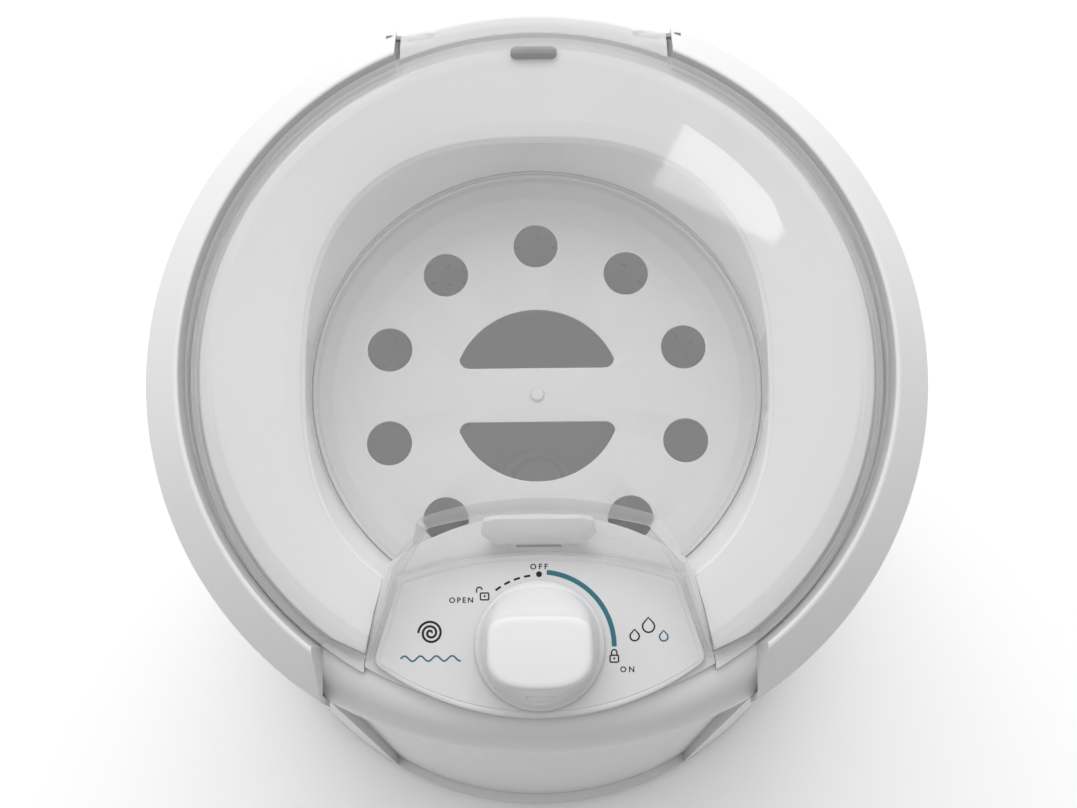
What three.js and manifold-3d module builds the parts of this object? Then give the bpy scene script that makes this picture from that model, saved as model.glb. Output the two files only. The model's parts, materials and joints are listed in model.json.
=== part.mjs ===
// Laundry spin dryer: a round cabinet with a clear domed lid, a control knob over a lid lock,
// and a spin basket that a sprung motor drives inside a water tub.
// Millimetres, +Z up, the origin on the floor under the centre, the front towards -Y.
import * as THREE from 'three';
import { mergeVertices } from 'three/addons/utils/BufferGeometryUtils.js';
import Module from 'manifold-3d';

const wasm = await Module();
wasm.setup();

// ---- Driving dimensions -----------------------------------------------------------------

const gap = 0.3; // between pieces that touch
const wall = 3; // moulded plastic wall
const shellSides = 48; // facets round the large shells
const smallSides = 12; // facets round the small pieces
const reach = 400; // half size of a cutting block, past the whole object

// Top ring
const ringHeight = 565; // outer edge of the ring above the floor
const ringRadius = 230;
const ringSkirt = 45; // how far the ring's skirt hangs below its edge
const ringWidth = 20; // from its outer edge in to its crest
const crestRise = 20;
const shelfDrop = 1; // top of the inner shelf below the ring's edge
const shelfWidth = 18;
const bridgeHalfWidth = 124; // the lowered front bridge of the ring
const bridgeLipSetback = 9; // how far behind the ring's radius its front lip ends
const bridgeLipFlattening = 36; // the lip's arc has this much more radius than its reach
const bridgeFall = 25; // height that its rounded front falls through
const bridgeRound = 22; // depth of that rounding

// Lid
const grooveWidth = 4.5; // between the lid's rim and the ring's crest
const lidWall = 3;
const lidRise = 48;
const lidStepInset = 17.5; // from the lid's rim in to the step of its dome
const lidStepRise = 37;
const lidRimRise = 22;
const lidDeckGap = 0.5; // between the lid's lower edge and the deck
const lidCornerSetback = 15; // front edge of the lid at its outer corners, behind the panel's

// Rear hinge
const hingeInset = 2; // from the ring's inner face in to the hinge axis
const hingeRise = 5.5;
const tabHalfWidth = 80;
const tabGap = 3.5;
const tabDrop = 0.5; // lower edge of the lid's hinge skirt under the ring's edge
const knuckleRadius = 4;
const knuckleInset = 4; // from the skirt's ends in to its knuckles
const knuckleLength = 16;
const hingePinRadius = 2;
const pocketInset = 5; // from the shelf's inner edge out to the hinge pocket's wall
const rearWallDrop = 10; // of the wall behind the pocket, which the opening lid's skirt passes

// Control panel and the notch for it in the lid
const panelOverlap = 14; // how far the panel's front runs out over the ring's shelf
const panelDepth = 94;
const panelBackSag = 13.5; // of its bowed back edge
const panelFrontSag = 32; // of its rounder front edge
const panelCornerX = 80; // half width at its back corners
const panelWideX = 95; // half width where it is widest
const panelRim = 2.4;
const panelCrown = 2;
const panelBevel = 6;
const notchGap = 1.5;
const notchLean = 0.44; // backward lean of the notch's rear wall, per mm of height
const notchNarrowing = 0.46; // how its ends close in, per mm of height
const notchCorner = 2.5; // of its ends at the bottom, in from the notch's sides
const notchBandRise = 40; // height over the ring's edge where that wall turns into a flatter band
const notchBandLean = 1.2;

// Lock housing
const housingLedge = 24; // of the housing behind the panel
const housingBackRadius = 148;
const housingMargin = 6.5; // past the panel's sides
const housingDepth = 40;

// Knob
const knobFrontMargin = 41; // from the panel's front edge to the knob's axis
const knobRadius = 37;
const knobRise = 31; // top of the grip above the panel
const gripOffset = 7; // of the grip's face, from the knob's axis to the front
const knobFlange = 7;
const gripLength = 61;
const gripWidth = 42;
const knobShaftRadius = 4;

// Lid lock
const camThickness = 6;
const camRadius = 12; // at rest, towards the bolt
const camRise = 5; // per radian, so the bolt follows the knob evenly
const camHubRadius = 7.5;
const camOverrun = 8; // degrees of the cam past its end positions
const knobOpenAngle = -47;
const knobOnAngle = 95;
const boltWidth = 12;
const boltGap = 2.5; // between the resting bolt and the hook
const camGap = 1;
const hookWidth = 26;
const hookThickness = 3;
const hookHoleWidth = 16;
const slotMargin = 4.5; // round the hook, which tilts as the lid opens
const latchTopWidth = 66;
const latchBottomWidth = 52;
const latchHeight = 27;
const latchLift = 1.6; // of the latch plate above the deck

// Collar and throat
const throatSideInset = 0.5; // of the squarish upper edge inside the press disc's radius
const throatEndMargin = 5; // and past it, at the front and back
const throatPower = 2.55;
const mouthMargin = 2.5; // round the press disc
const mouthDrop = 45;
const collarCrestRise = 10;
const collarCrestWidth = 9;

// Casing and base
const casingTopDrop = 31;
const skirtClearance = 0.5; // between the casing and the ring's skirt round it
const casingFlare = 8; // from the casing's top to its bottom
const frontTopSetback = 8;
const frontBottomSetback = 6.5;
const frontBottomHalfWidth = 117; // between the side ridges, which lean in towards the base
const footHeight = 10;
const baseOverhang = 1; // past the casing
const baseFloor = 4;
const baseFlange = 18;
const baseLip = 12;
const footRadius = 18;
const footInset = 44.5; // from the base's edge in to the middle of a foot

// Basket and press disc
const basketTopDrop = 52;
const basketClearance = 38; // between the basket and the tub, for its sway
const basketWall = 2;
const basketWallHoleMargin = 30; // of its outer rows of holes
const basketFloorRise = 31; // above the tub's floor
const neckDepth = 28;
const neckWidth = 15; // of the basket's neck ring, outside the press disc
const discPlateDrop = 69;
const discRimDrop = 50;
const discDish = 5; // rise of the plate's edge
const discGripRadius = 68; // of the disc's middle, which holds the finger holes
const discWall = 2.5;
const discHoleRadius = 13.9;
const discHoleInset = 41; // from the disc's edge in to its circle of holes
const discHoles = 10;
const fingerHalfWidth = 48;
const fingerFrom = 17;
const fingerTo = 54.6;
const fingerCorner = 6;
const drainHoleRadius = 4;
const drainRows = 3;
const drainHolesPerRow = 12;

// Tub
const tubFlangeDrop = 5;
const tubFloorHeight = 143;
const tubHoleRadius = 44;

// Drive
const shaftRadius = 8;
const plateDrop = 23; // of the motor plate below the tub's floor
const plateThickness = 4;
const plateRadius = 95;
const armEnd = 18; // of each arm past its spring
const armWidth = 44;
const springInset = 40; // from the tub's wall in to the springs
const springRadius = 13;
const springWire = 3;
const mountHeight = 16;
const mountMargin = 5; // of a spring's rubber foot round the spring
const motorRadius = 68;
const motorLength = 71.7;
const motorWall = 4;
const coreInset = 14; // from the housing's ends in to the core
const statorBore = 40;
const airGap = 0.5;
const towerRadius = 30;
const towerHeight = 44;
const bearingRadius = 16;
const bearingWidth = 10;
const hubRadius = 60;
const capRadius = 29; // of the cap over the hub's nut
const brakeRadius = 30;
const brakeWidth = 16;
const brakeGap = 2.2;

// Water outlet, wiring and screws
const outletAngle = 225; // from the front, seen from above, anticlockwise from -Y towards +X
const outletInset = 40; // from the tub's wall in to its outlet
const outletHeight = 62;
const stubLength = 22;
const spoutLength = 24; // outside the casing
const spoutFlange = 6;
const spoutRoot = 13; // inside the casing
const hoseRadius = 15;
const hoseBore = 12;
const glandAngle = 146;
const glandHeight = 70;
const glandRadius = 9;
const screwRadius = 4.5;
const cableRadius = 2.5;
const padHalfLength = 14;
const capacitorRadius = 20;
const capacitorHeight = 70;
const capacitorCrown = 4; // height of its rounded end
const bootHeight = 10;
const bootLip = 3;

// ---- Sizes that follow from them --------------------------------------------------------

const level = (rise) => ringHeight + rise; // height of a point given from the ring's edge
const crestRadius = ringRadius - ringWidth;
const grooveRadius = crestRadius - 2; // inner face of the ring
const lidRadius = grooveRadius - grooveWidth;
const lidStepRadius = lidRadius - lidStepInset;
const shelfInner = grooveRadius - shelfWidth;
const hingeY = grooveRadius - hingeInset;
const bridgeLipReach = ringRadius - bridgeLipSetback; // how far forward its lip comes
const bridgeLipRadius = bridgeLipReach + bridgeLipFlattening;
const casingTopRadius = ringRadius - 1 - wall - skirtClearance;
const casingBottomRadius = casingTopRadius + casingFlare;
const frontTopRadius = casingTopRadius - frontTopSetback;
const frontBottomRadius = casingBottomRadius - frontBottomSetback;
const baseRadius = casingBottomRadius + baseOverhang;
const footCircle = baseRadius - footInset;
const tubRadius = shelfInner;
const springCircle = tubRadius - springInset;
const armRadius = springCircle + armEnd;
const outletCircle = tubRadius - outletInset;
const basketRadius = tubRadius - basketClearance;
const discRadius = basketRadius - neckWidth;
const discHoleCircle = discRadius - discHoleInset;
const throatX = discRadius - throatSideInset;
const throatY = discRadius + throatEndMargin;
const mouthRadius = discRadius + mouthMargin;
const panelFrontY = -(shelfInner + panelOverlap);
const panelBackY = panelFrontY + panelDepth;
const panelCornerY = panelBackY - panelBackSag;
const panelWideY = panelFrontY + panelFrontSag;
const lidCornerY = panelWideY + lidCornerSetback;
const housingBackY = panelBackY + housingLedge;
const knobY = panelFrontY + knobFrontMargin;
const deckBottom = level(-shelfDrop) + gap;
const deckTop = deckBottom + wall; // top of the collar's flange and of the lock housing
const lidBottom = deckTop + lidDeckGap;
const baseTop = footHeight + baseFlange;
const casingBottom = baseTop + gap;
const casingTop = level(-casingTopDrop);
const panelBottom = deckTop + gap;
const panelTop = panelBottom + panelRim + panelCrown;
const panelSideSlope = (panelWideX - panelCornerX) / (panelWideY - panelCornerY);
const basketFloorHeight = tubFloorHeight + basketFloorRise;
const plateHeight = tubFloorHeight - plateDrop;
const hingePocketDrop = casingTopDrop - wall - 1;
const pocketInner = shelfInner + pocketInset;
const knuckleEnd = tabHalfWidth - knuckleInset;
const knuckleStart = knuckleEnd - knuckleLength;

// ---- Solids -----------------------------------------------------------------------------

// A closed three.js geometry as a manifold solid with its faces out.
function toSolid(shape) {
  if (!shape.isBufferGeometry) return shape;
  const bare = shape.clone();
  bare.deleteAttribute('normal');
  bare.deleteAttribute('uv');
  const merged = mergeVertices(bare, 1e-4);
  const points = merged.attributes.position.array;
  const faces = [];
  let volume = 0;
  for (let i = 0; i < merged.index.count; i += 3) {
    const [a, b, c] = [0, 1, 2].map((k) => merged.index.array[i + k]);
    if (a === b || b === c || c === a) continue;
    faces.push(a, b, c);
    const [p, q, r] = [a, b, c].map((v) => new THREE.Vector3().fromArray(points, 3 * v));
    volume += p.dot(q.cross(r));
  }
  if (volume < 0) faces.reverse();
  return new wasm.Manifold(
    new wasm.Mesh({ numProp: 3, vertProperties: points, triVerts: new Uint32Array(faces) }),
  );
}

const join = (...shapes) => shapes.map(toSolid).reduce((a, b) => a.add(b));
const cut = (shape, ...tools) => tools.map(toSolid).reduce((a, b) => a.subtract(b), toSolid(shape));
const common = (...shapes) => shapes.map(toSolid).reduce((a, b) => a.intersect(b));

// Turning one of two round shells by this keeps their edges from crossing each other.
const halfFacet = Math.PI / shellSides;

// A round solid about Z from [radius, height] points, which end on the axis or close the loop.
function lathe(profile, sides = shellSides) {
  const closed = profile[0][0] > 0 ? [...profile, profile[0]] : profile;
  const points = closed.map(([radius, height]) => new THREE.Vector2(radius, height));
  return new THREE.LatheGeometry(points, sides).rotateX(Math.PI / 2);
}

const disc = (radius, low, high, sides = shellSides) =>
  lathe([[0, low], [radius, low], [radius, high], [0, high]], sides);

const sleeve = (outer, inner, low, high, sides = smallSides) =>
  lathe([[inner, low], [outer, low], [outer, high], [inner, high]], sides);

const block = (xLow, xHigh, yLow, yHigh, zLow, zHigh) =>
  new THREE.BoxGeometry(xHigh - xLow, yHigh - yLow, zHigh - zLow).translate(
    (xLow + xHigh) / 2,
    (yLow + yHigh) / 2,
    (zLow + zHigh) / 2,
  );

// An upright prism over a plan outline of [x, y] points.
function prism(outline, low, high) {
  const shape = new THREE.Shape(outline.map(([x, y]) => new THREE.Vector2(x, y)));
  const options = { depth: high - low, bevelEnabled: false };
  return new THREE.ExtrudeGeometry(shape, options).translate(0, 0, low);
}

// A solid through [outline, height] layers, whose plan outlines have as many points each.
function loft(...layers) {
  const lowest = layers[0][0];
  const count = lowest.length;
  const top = count * (layers.length - 1);
  const points = layers.flatMap(([outline, height]) => outline.map(([x, y]) => [x, y, height]));
  const cap = THREE.ShapeUtils.triangulateShape(
    lowest.map(([x, y]) => new THREE.Vector2(x, y)),
    [],
  );
  const faces = [];
  for (const [a, b, c] of cap) {
    faces.push(c, b, a);
    faces.push(a + top, b + top, c + top);
  }
  for (let start = 0; start < top; start += count) {
    for (let i = 0; i < count; i += 1) {
      const here = start + i;
      const next = start + ((i + 1) % count);
      faces.push(here, next, next + count);
      faces.push(here, next + count, here + count);
    }
  }
  return surface(points, faces);
}

function surface(points, faces) {
  const geometry = new THREE.BufferGeometry();
  geometry.setAttribute('position', new THREE.Float32BufferAttribute(points.flat(), 3));
  geometry.setIndex(faces);
  return geometry;
}

// A ring about Z whose section changes with the angle: section(angle) gives a closed loop of
// [radius, height] points, and the angle runs from -Y towards +X.
function changingRing(section, sides = shellSides) {
  const loops = [];
  for (let i = 0; i < sides; i += 1) {
    loops.push(section((2 * Math.PI * i) / sides));
  }
  const size = loops[0].length;
  const points = loops.flatMap((loop, i) => {
    const angle = (2 * Math.PI * i) / sides;
    return loop.map(([radius, height]) => [
      radius * Math.sin(angle),
      -radius * Math.cos(angle),
      height,
    ]);
  });
  const faces = [];
  for (let i = 0; i < sides; i += 1) {
    for (let j = 0; j < size; j += 1) {
      const a = i * size + j;
      const b = i * size + ((j + 1) % size);
      const c = ((i + 1) % sides) * size + j;
      const d = ((i + 1) % sides) * size + ((j + 1) % size);
      faces.push(a, c, b);
      faces.push(b, c, d);
    }
  }
  return surface(points, faces);
}

// An arc of [x, y] points about a centre, by the angle from +X.
function arc(centreX, centreY, radius, from, to, steps) {
  const points = [];
  for (let i = 0; i <= steps; i += 1) {
    const angle = from + ((to - from) * i) / steps;
    points.push([centreX + radius * Math.cos(angle), centreY + radius * Math.sin(angle)]);
  }
  return points;
}

// The arc through (0, apexY) and (+-halfWidth, endY), from the right end to the left one.
function bow(halfWidth, endY, apexY, steps) {
  const sag = apexY - endY;
  const radius = (halfWidth ** 2 + sag ** 2) / (2 * Math.abs(sag));
  const centreY = apexY - Math.sign(sag) * radius;
  const end = Math.atan2(endY - centreY, halfWidth);
  const other = Math.PI - end;
  return sag > 0
    ? arc(0, centreY, radius, end, other, steps)
    : arc(0, centreY, radius, end, -Math.PI - end, steps);
}

const mirrored = (points) => points.map(([x, y]) => [-x, y]).reverse();
const alongX = (shape, y, z) => shape.rotateY(Math.PI / 2).translate(0, y, z);
const turned = (angle) => new THREE.Vector2(Math.sin(angle), -Math.cos(angle));
const radians = THREE.MathUtils.degToRad;

// ---- Materials --------------------------------------------------------------------------

const material = (color, roughness, metalness = 0, extra = {}) =>
  new THREE.MeshStandardMaterial({ color, roughness, metalness, ...extra });

const whitePlastic = material(0xe6e6e4, 0.4);
const panelPlastic = material(0xdedde0, 0.35);
const clearPlastic = material(0xf2f4f4, 0.1, 0, { transparent: true, opacity: 0.35 });
const discPlastic = material(0xc9c9cb, 0.5);
const tubPlastic = material(0xb4b4b4, 0.6);
const basketPlastic = material(0xd2d3d3, 0.5);
const steel = material(0x9da0a3, 0.35, 0.9);
const zinc = material(0xb9bcbd, 0.45, 0.8);
const castAluminium = material(0xa6a8aa, 0.5, 0.8);
const darkSteel = material(0x55585c, 0.5, 0.7);
const rubber = material(0x262626, 0.85);
const blackPlastic = material(0x303132, 0.6);
const brakeLining = material(0x4a4038, 0.9);

const dryer = new THREE.Group();

function piece(name, shape, finish, parent = dryer) {
  const mesh = toSolid(shape).getMesh();
  const geometry = new THREE.BufferGeometry();
  geometry.setAttribute('position', new THREE.BufferAttribute(mesh.vertProperties, 3));
  geometry.setIndex(new THREE.BufferAttribute(mesh.triVerts, 1));
  const part = new THREE.Mesh(geometry, finish);
  part.name = name;
  parent.add(part);
  return part;
}

// ---- Plan outlines ----------------------------------------------------------------------

// The panel's outline, grown by a margin. Its sides lean in towards the back.
function panelOutline(margin = 0) {
  const sideX = (y) => panelWideX + margin + panelSideSlope * (y - panelWideY);
  const cornerY = panelCornerY + margin;
  const back = bow(sideX(cornerY), cornerY, panelBackY + margin, 10);
  const front = bow(sideX(panelWideY), panelWideY, panelFrontY - margin, 12).reverse();
  return [...back, ...front];
}

// The cut in the lid at one height: the notch round the panel, and all in front of the lid.
function lidCutOutline(height, margin) {
  const wallRise = Math.max(Math.min(height, level(notchBandRise)) - lidBottom, 0);
  const bandLean = notchBandLean * Math.max(height - level(notchBandRise), 0);
  const sideX = (y) => panelWideX + notchGap + margin + panelSideSlope * (y - panelWideY);
  const cornerY = panelCornerY + notchGap + margin;
  const frontY = panelWideY + notchGap + margin;
  const halfWidth = sideX(cornerY) - notchCorner - notchNarrowing * wallRise + bandLean;
  const apexY = panelBackY + notchGap + margin + notchLean * wallRise + bandLean;
  const endY = apexY - panelBackSag * (halfWidth / sideX(cornerY)) ** 2;
  const back = bow(halfWidth, endY, apexY, 10);
  const right = [
    [bridgeHalfWidth + margin, -reach],
    [bridgeHalfWidth + margin, lidCornerY + margin],
    [sideX(frontY), frontY],
    [sideX(cornerY), cornerY],
  ];
  return [...right, ...back, ...mirrored(right)];
}

// The lock housing: an arc at the back, slanted sides, and round at the front.
function housingOutline(margin = 0) {
  const radius = housingBackRadius + margin;
  const centreY = housingBackY - housingBackRadius;
  const sideX = (y) => panelWideX + housingMargin + margin + panelSideSlope * (y - panelWideY);
  const cornerY = panelCornerY + housingMargin - 1;
  const cornerX = Math.min(sideX(cornerY), Math.sqrt(radius ** 2 - (cornerY - centreY) ** 2));
  const start = Math.atan2(cornerY - centreY, cornerX);
  const back = arc(0, centreY, radius, start, Math.PI - start, 10);
  const right = [
    [sideX(panelWideY), -reach],
    [sideX(panelWideY), panelWideY],
  ];
  return [...right, ...back, ...mirrored(right)];
}

const frontBlock = (halfWidth, low, high) => block(-halfWidth, halfWidth, -reach, 0, low, high);
const rearBlock = (halfWidth, low, high) => block(-halfWidth, halfWidth, 0, reach, low, high);

// ---- Cabinet ----------------------------------------------------------------------------

const ringSurface = [
  [ringRadius, level(0)],
  [ringRadius - 1.5, level(3.5)],
  [crestRadius + 2, level(crestRise - 1.5)],
  [crestRadius, level(crestRise)],
  [grooveRadius, level(crestRise - 2)],
];

function ringShell() {
  const skirtBottom = level(-ringSkirt);
  return lathe([
    [ringRadius - 1, skirtBottom],
    ...ringSurface,
    [grooveRadius, level(-shelfDrop)],
    [shelfInner, level(-shelfDrop)],
    [shelfInner, level(-shelfDrop - wall)],
    [grooveRadius + wall, level(-shelfDrop - wall)],
    [grooveRadius + wall, level(crestRise - wall - 2)],
    [ringRadius - wall - 1, level(0)],
    [ringRadius - 1 - wall, skirtBottom],
  ]);
}

// The space inside the ring, up to the middle of its wall, for the walls that close its ends.
function ringFilling(low, inner) {
  const shelfMiddle = level(-shelfDrop - wall / 2);
  return lathe([
    [ringRadius - 1 - wall / 2, low],
    [ringRadius - 1 - wall / 2, level(0)],
    [grooveRadius + wall / 2, level(crestRise - wall)],
    [grooveRadius + wall / 2, shelfMiddle],
    [inner, shelfMiddle],
    [inner, low],
  ]).rotateZ(halfFacet);
}

const bridgeCentreY = bridgeLipRadius - bridgeLipReach;
const bridgeLap = 1; // how far the bridge runs into the walls at its ends

// The bridge's rounded front, about its own centre, shrunk by an inset.
function bridgeSolid(inset, low) {
  const top = level(-shelfDrop) - inset;
  const lip = bridgeLipRadius - inset;
  const profile = [[0, low], [lip, low]];
  const steps = 5;
  for (let i = 0; i <= steps; i += 1) {
    const angle = (Math.PI / 2) * (i / steps);
    const round = bridgeRound - inset;
    const fall = bridgeFall - inset;
    profile.push([lip - round + round * Math.cos(angle), top - fall + fall * Math.sin(angle)]);
  }
  profile.push([0, top]);
  return lathe(profile, 2 * shellSides).translate(0, bridgeCentreY, 0);
}

function topRing() {
  const skirtBottom = level(-ringSkirt);
  const endWalls = common(
    ringFilling(level(-shelfDrop - wall), grooveRadius + 1),
    frontBlock(bridgeHalfWidth + wall, 0, reach * 2),
  );
  const sides = cut(join(ringShell(), endWalls), frontBlock(bridgeHalfWidth, 0, reach * 2));
  const bridge = common(
    cut(
      bridgeSolid(0, skirtBottom),
      bridgeSolid(wall, skirtBottom - wall),
      disc(shelfInner, 0, 2 * reach),
    ),
    frontBlock(bridgeHalfWidth + bridgeLap, 0, reach * 2),
  );
  const pocketFloor = level(-hingePocketDrop);
  const pocket = common(
    ringFilling(pocketFloor - wall, pocketInner),
    rearBlock(tabHalfWidth + tabGap + wall, 0, 2 * reach),
  );
  const pocketRoof = level(-shelfDrop - 2 * wall);
  const rearWallTop = level(-rearWallDrop);
  const pocketSpace = common(
    lathe([
      [pocketInner + wall, pocketFloor],
      [ringRadius - 1 - wall, pocketFloor],
      [ringRadius - 1 - wall, rearWallTop],
      [ringRadius + wall, rearWallTop],
      [ringRadius + wall, level(2 * crestRise)],
      [lidRadius + 0.7, level(2 * crestRise)],
      [lidRadius + 0.7, pocketRoof],
      [pocketInner + wall, pocketRoof],
    ]),
    rearBlock(tabHalfWidth + tabGap, 0, 2 * reach),
  );
  const ring = join(sides, bridge, pocket);
  const screwHoles = screwAngles.map((angle) => screwHole(angle));
  return cut(ring, pocketSpace, ...pinHoles(), ...screwHoles);
}

function pinHoles() {
  const from = tabHalfWidth + tabGap - 1;
  return [-1, 1].map((side) =>
    alongX(
      disc(hingePinRadius + gap, side * from, side * (from + 2 * wall), smallSides),
      hingeY,
      level(hingeRise),
    ),
  );
}

// The screws hold the collar, the ring's shelf and the tub's flange together.
const screwCircle = shelfInner + 6.5;
const screwAngles = [60, 120, 240, 300].map(radians);
const screwTip = deckTop + 2;
const screwHole = (angle) => {
  const place = turned(angle).multiplyScalar(screwCircle);
  const low = level(-tubFlangeDrop - 2 * wall);
  const hole = disc(screwRadius / 2 + gap, low, screwTip + gap, smallSides);
  return hole.translate(place.x, place.y, 0);
};

const casingSlope = (top, bottom) => (bottom - top) / (casingTop - casingBottom);

// The cabinet's solid outline, shrunk by an inset: round, with its front wall set back.
function casingSolid(inset, extra) {
  const cone = (top, bottom, over) => {
    const flare = casingSlope(top, bottom) * over;
    return lathe([
      [0, casingBottom - over],
      [bottom - inset + flare, casingBottom - over],
      [top - inset - flare, casingTop + over],
      [0, casingTop + over],
    ]);
  };
  const across = (halfWidth) => [
    [-halfWidth - inset, -reach],
    [halfWidth + inset, -reach],
    [halfWidth + inset, 0],
    [-halfWidth - inset, 0],
  ];
  const frontSlot = cut(
    loft(
      [across(frontBottomHalfWidth), casingBottom - 2],
      [across(bridgeHalfWidth + bridgeLap + 2 * gap), casingTop + 2],
    ),
    cone(frontTopRadius, frontBottomRadius, extra + 3),
  );
  return cut(cone(casingTopRadius, casingBottomRadius, extra), frontSlot);
}

const outletDirection = turned(radians(outletAngle));
const glandDirection = turned(radians(glandAngle));
const wallRadiusAt = (height) =>
  casingTopRadius + casingSlope(casingTopRadius, casingBottomRadius) * (casingTop - height);

// A geometry made about Z, laid along a level direction at a height, its base at a distance.
function outward(shape, direction, distance, height) {
  const turn = new THREE.Quaternion().setFromUnitVectors(
    new THREE.Vector3(0, 0, 1),
    new THREE.Vector3(direction.x, direction.y, 0),
  );
  return shape
    .applyQuaternion(turn)
    .translate(direction.x * distance, direction.y * distance, height);
}

function casingHole(radius, direction, height) {
  const through = 10 * wall; // to both sides of the casing's wall
  const hole = disc(radius + gap, -through, through, smallSides);
  return outward(hole, direction, casingBottomRadius, height);
}

function outerCasing() {
  return cut(
    casingSolid(0, 0),
    casingSolid(wall, 1),
    casingHole(hoseRadius, outletDirection, outletHeight),
    casingHole(glandRadius, glandDirection, glandHeight),
  );
}

function baseTray() {
  const lipRadius = frontBottomRadius - wall - 2 * gap;
  return lathe([
    [0, footHeight],
    [baseRadius - 2, footHeight],
    [baseRadius, footHeight + 2],
    [baseRadius, baseTop],
    [lipRadius, baseTop],
    [lipRadius, baseTop + baseLip],
    [lipRadius - wall, baseTop + baseLip],
    [lipRadius - wall, footHeight + baseFloor],
    [0, footHeight + baseFloor],
  ]);
}

piece('outer_casing', outerCasing(), whitePlastic);
piece('base_tray', baseTray(), whitePlastic);
piece('top_ring', topRing(), whitePlastic);

for (let i = 0; i < 4; i += 1) {
  const place = turned(radians(45 + 90 * i)).multiplyScalar(footCircle);
  const foot = lathe([
    [0, 0],
    [footRadius - 2, 0],
    [footRadius, footHeight - gap],
    [0, footHeight - gap],
  ], smallSides);
  piece(`foot_${i + 1}`, foot, rubber).position.set(place.x, place.y, 0);
}

// ---- Collar and lock housing ------------------------------------------------------------

function throatRadius(angle) {
  const x = Math.abs(Math.sin(angle)) / throatX;
  const y = Math.abs(Math.cos(angle)) / throatY;
  return (x ** throatPower + y ** throatPower) ** (-1 / throatPower);
}

const collarFlangeRadius = grooveRadius - 1.5 * wall;
const collarCrest = lidRadius - lidWall - 1.5;

function collarSection(angle) {
  const throat = throatRadius(angle);
  const mouth = mouthRadius;
  const crestTop = level(collarCrestRise);
  const edge = level(0);
  const under = collarCrest - collarCrestWidth;
  const bottom = level(-mouthDrop);
  const halfWay = (throat + mouth) / 2;
  return [
    [collarFlangeRadius, deckBottom],
    [collarFlangeRadius, deckTop],
    [collarCrest, deckTop],
    [collarCrest - 2, crestTop],
    [under, crestTop - 0.5],
    [throat + 12, edge + 2.5],
    [throat + 3, edge - 0.5],
    [throat, edge - 4],
    [halfWay, (edge + bottom) / 2],
    [mouth, bottom],
    [mouth + wall, bottom],
    [halfWay + wall, (edge + bottom) / 2],
    [throat + 1.5 * wall, edge - 4 - wall],
    [throat + 13, edge + 2.5 - wall],
    [under - 1, crestTop - 0.5 - wall],
    [collarCrest - 2 * wall, deckBottom],
  ];
}

function collarFunnel() {
  const space = prism(housingOutline(gap), level(-2 * mouthDrop), level(2 * crestRise));
  const lidFront = prism(lidCutOutline(lidBottom, lidWall + 2 * gap), deckTop, level(lidRise));
  const screwHoles = screwAngles.map((angle) => screwHole(angle));
  return cut(changingRing(collarSection), space, lidFront, ...screwHoles);
}

const housingFront = tubRadius - wall - 2 * gap;
const housingPlateFront = shelfInner + 10;
const latchBottom = deckTop + latchLift;
const notchWallY = panelBackY + notchGap + lidWall / Math.cos(Math.atan(notchLean));
const latchFaceY = notchWallY + notchLean * (latchBottom - lidBottom) + 2 * gap;
const hookNearY = latchFaceY + gap;
const hookFarY = hookNearY + hookThickness;

function lockHousing() {
  const bottom = level(-housingDepth);
  const plate = common(
    prism(housingOutline(), deckBottom, deckTop),
    disc(housingPlateFront, 0, 2 * reach),
  );
  const body = common(prism(housingOutline(), bottom, deckTop), disc(housingFront, 0, 2 * reach));
  const hollow = common(
    prism(housingOutline(-wall), bottom - 1, deckBottom),
    disc(housingFront - wall, 0, 2 * reach),
  );
  return cut(
    join(plate, cut(body, hollow)),
    block(
      -hookWidth / 2 - slotMargin,
      hookWidth / 2 + slotMargin,
      hookNearY - slotMargin,
      hookFarY + slotMargin,
      bottom - 1,
      deckTop + 1,
    ),
    disc(knobShaftRadius + gap, bottom, deckTop + 1, smallSides).translate(0, knobY, 0),
  );
}

function controlPanel() {
  const plate = loft(
    [panelOutline(), deckBottom],
    [panelOutline(), panelBottom + panelRim],
    [panelOutline(-panelBevel), panelTop],
  );
  return cut(
    plate,
    disc(housingPlateFront + gap, 0, panelBottom),
    disc(knobShaftRadius + gap, deckBottom - 1, panelTop + 1, smallSides).translate(0, knobY, 0),
  );
}

piece('collar_funnel', collarFunnel(), whitePlastic);
piece('lock_housing', lockHousing(), whitePlastic);
piece('control_panel', controlPanel(), panelPlastic);

for (const [i, angle] of screwAngles.entries()) {
  const place = turned(angle).multiplyScalar(screwCircle);
  const headTop = level(-tubFlangeDrop - wall) - gap;
  const screw = lathe([
    [0, headTop - 2.5],
    [screwRadius * 0.8, headTop - 2.5],
    [screwRadius, headTop],
    [screwRadius / 2, headTop],
    [screwRadius / 2, screwTip],
    [0, screwTip],
  ], smallSides);
  piece(`collar_screw_${i + 1}`, screw, zinc).position.set(place.x, place.y, 0);
}

// ---- Lid --------------------------------------------------------------------------------

function lidDome(inset, low) {
  const step = lidStepRadius - inset / 2;
  const rim = lidRadius - inset;
  return lathe([
    [0, low],
    [rim, low],
    [rim, level(lidRimRise) - inset],
    [step + 3, level(lidStepRise - 3) - inset],
    [step, level(lidStepRise) - inset],
    [step - 22, level(lidStepRise + 4.5) - inset],
    [lidStepRadius * 0.6, level(lidRise - 2.5) - inset],
    [lidStepRadius * 0.3, level(lidRise - 0.5) - inset],
    [0, level(lidRise) - inset],
  ]);
}

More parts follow.
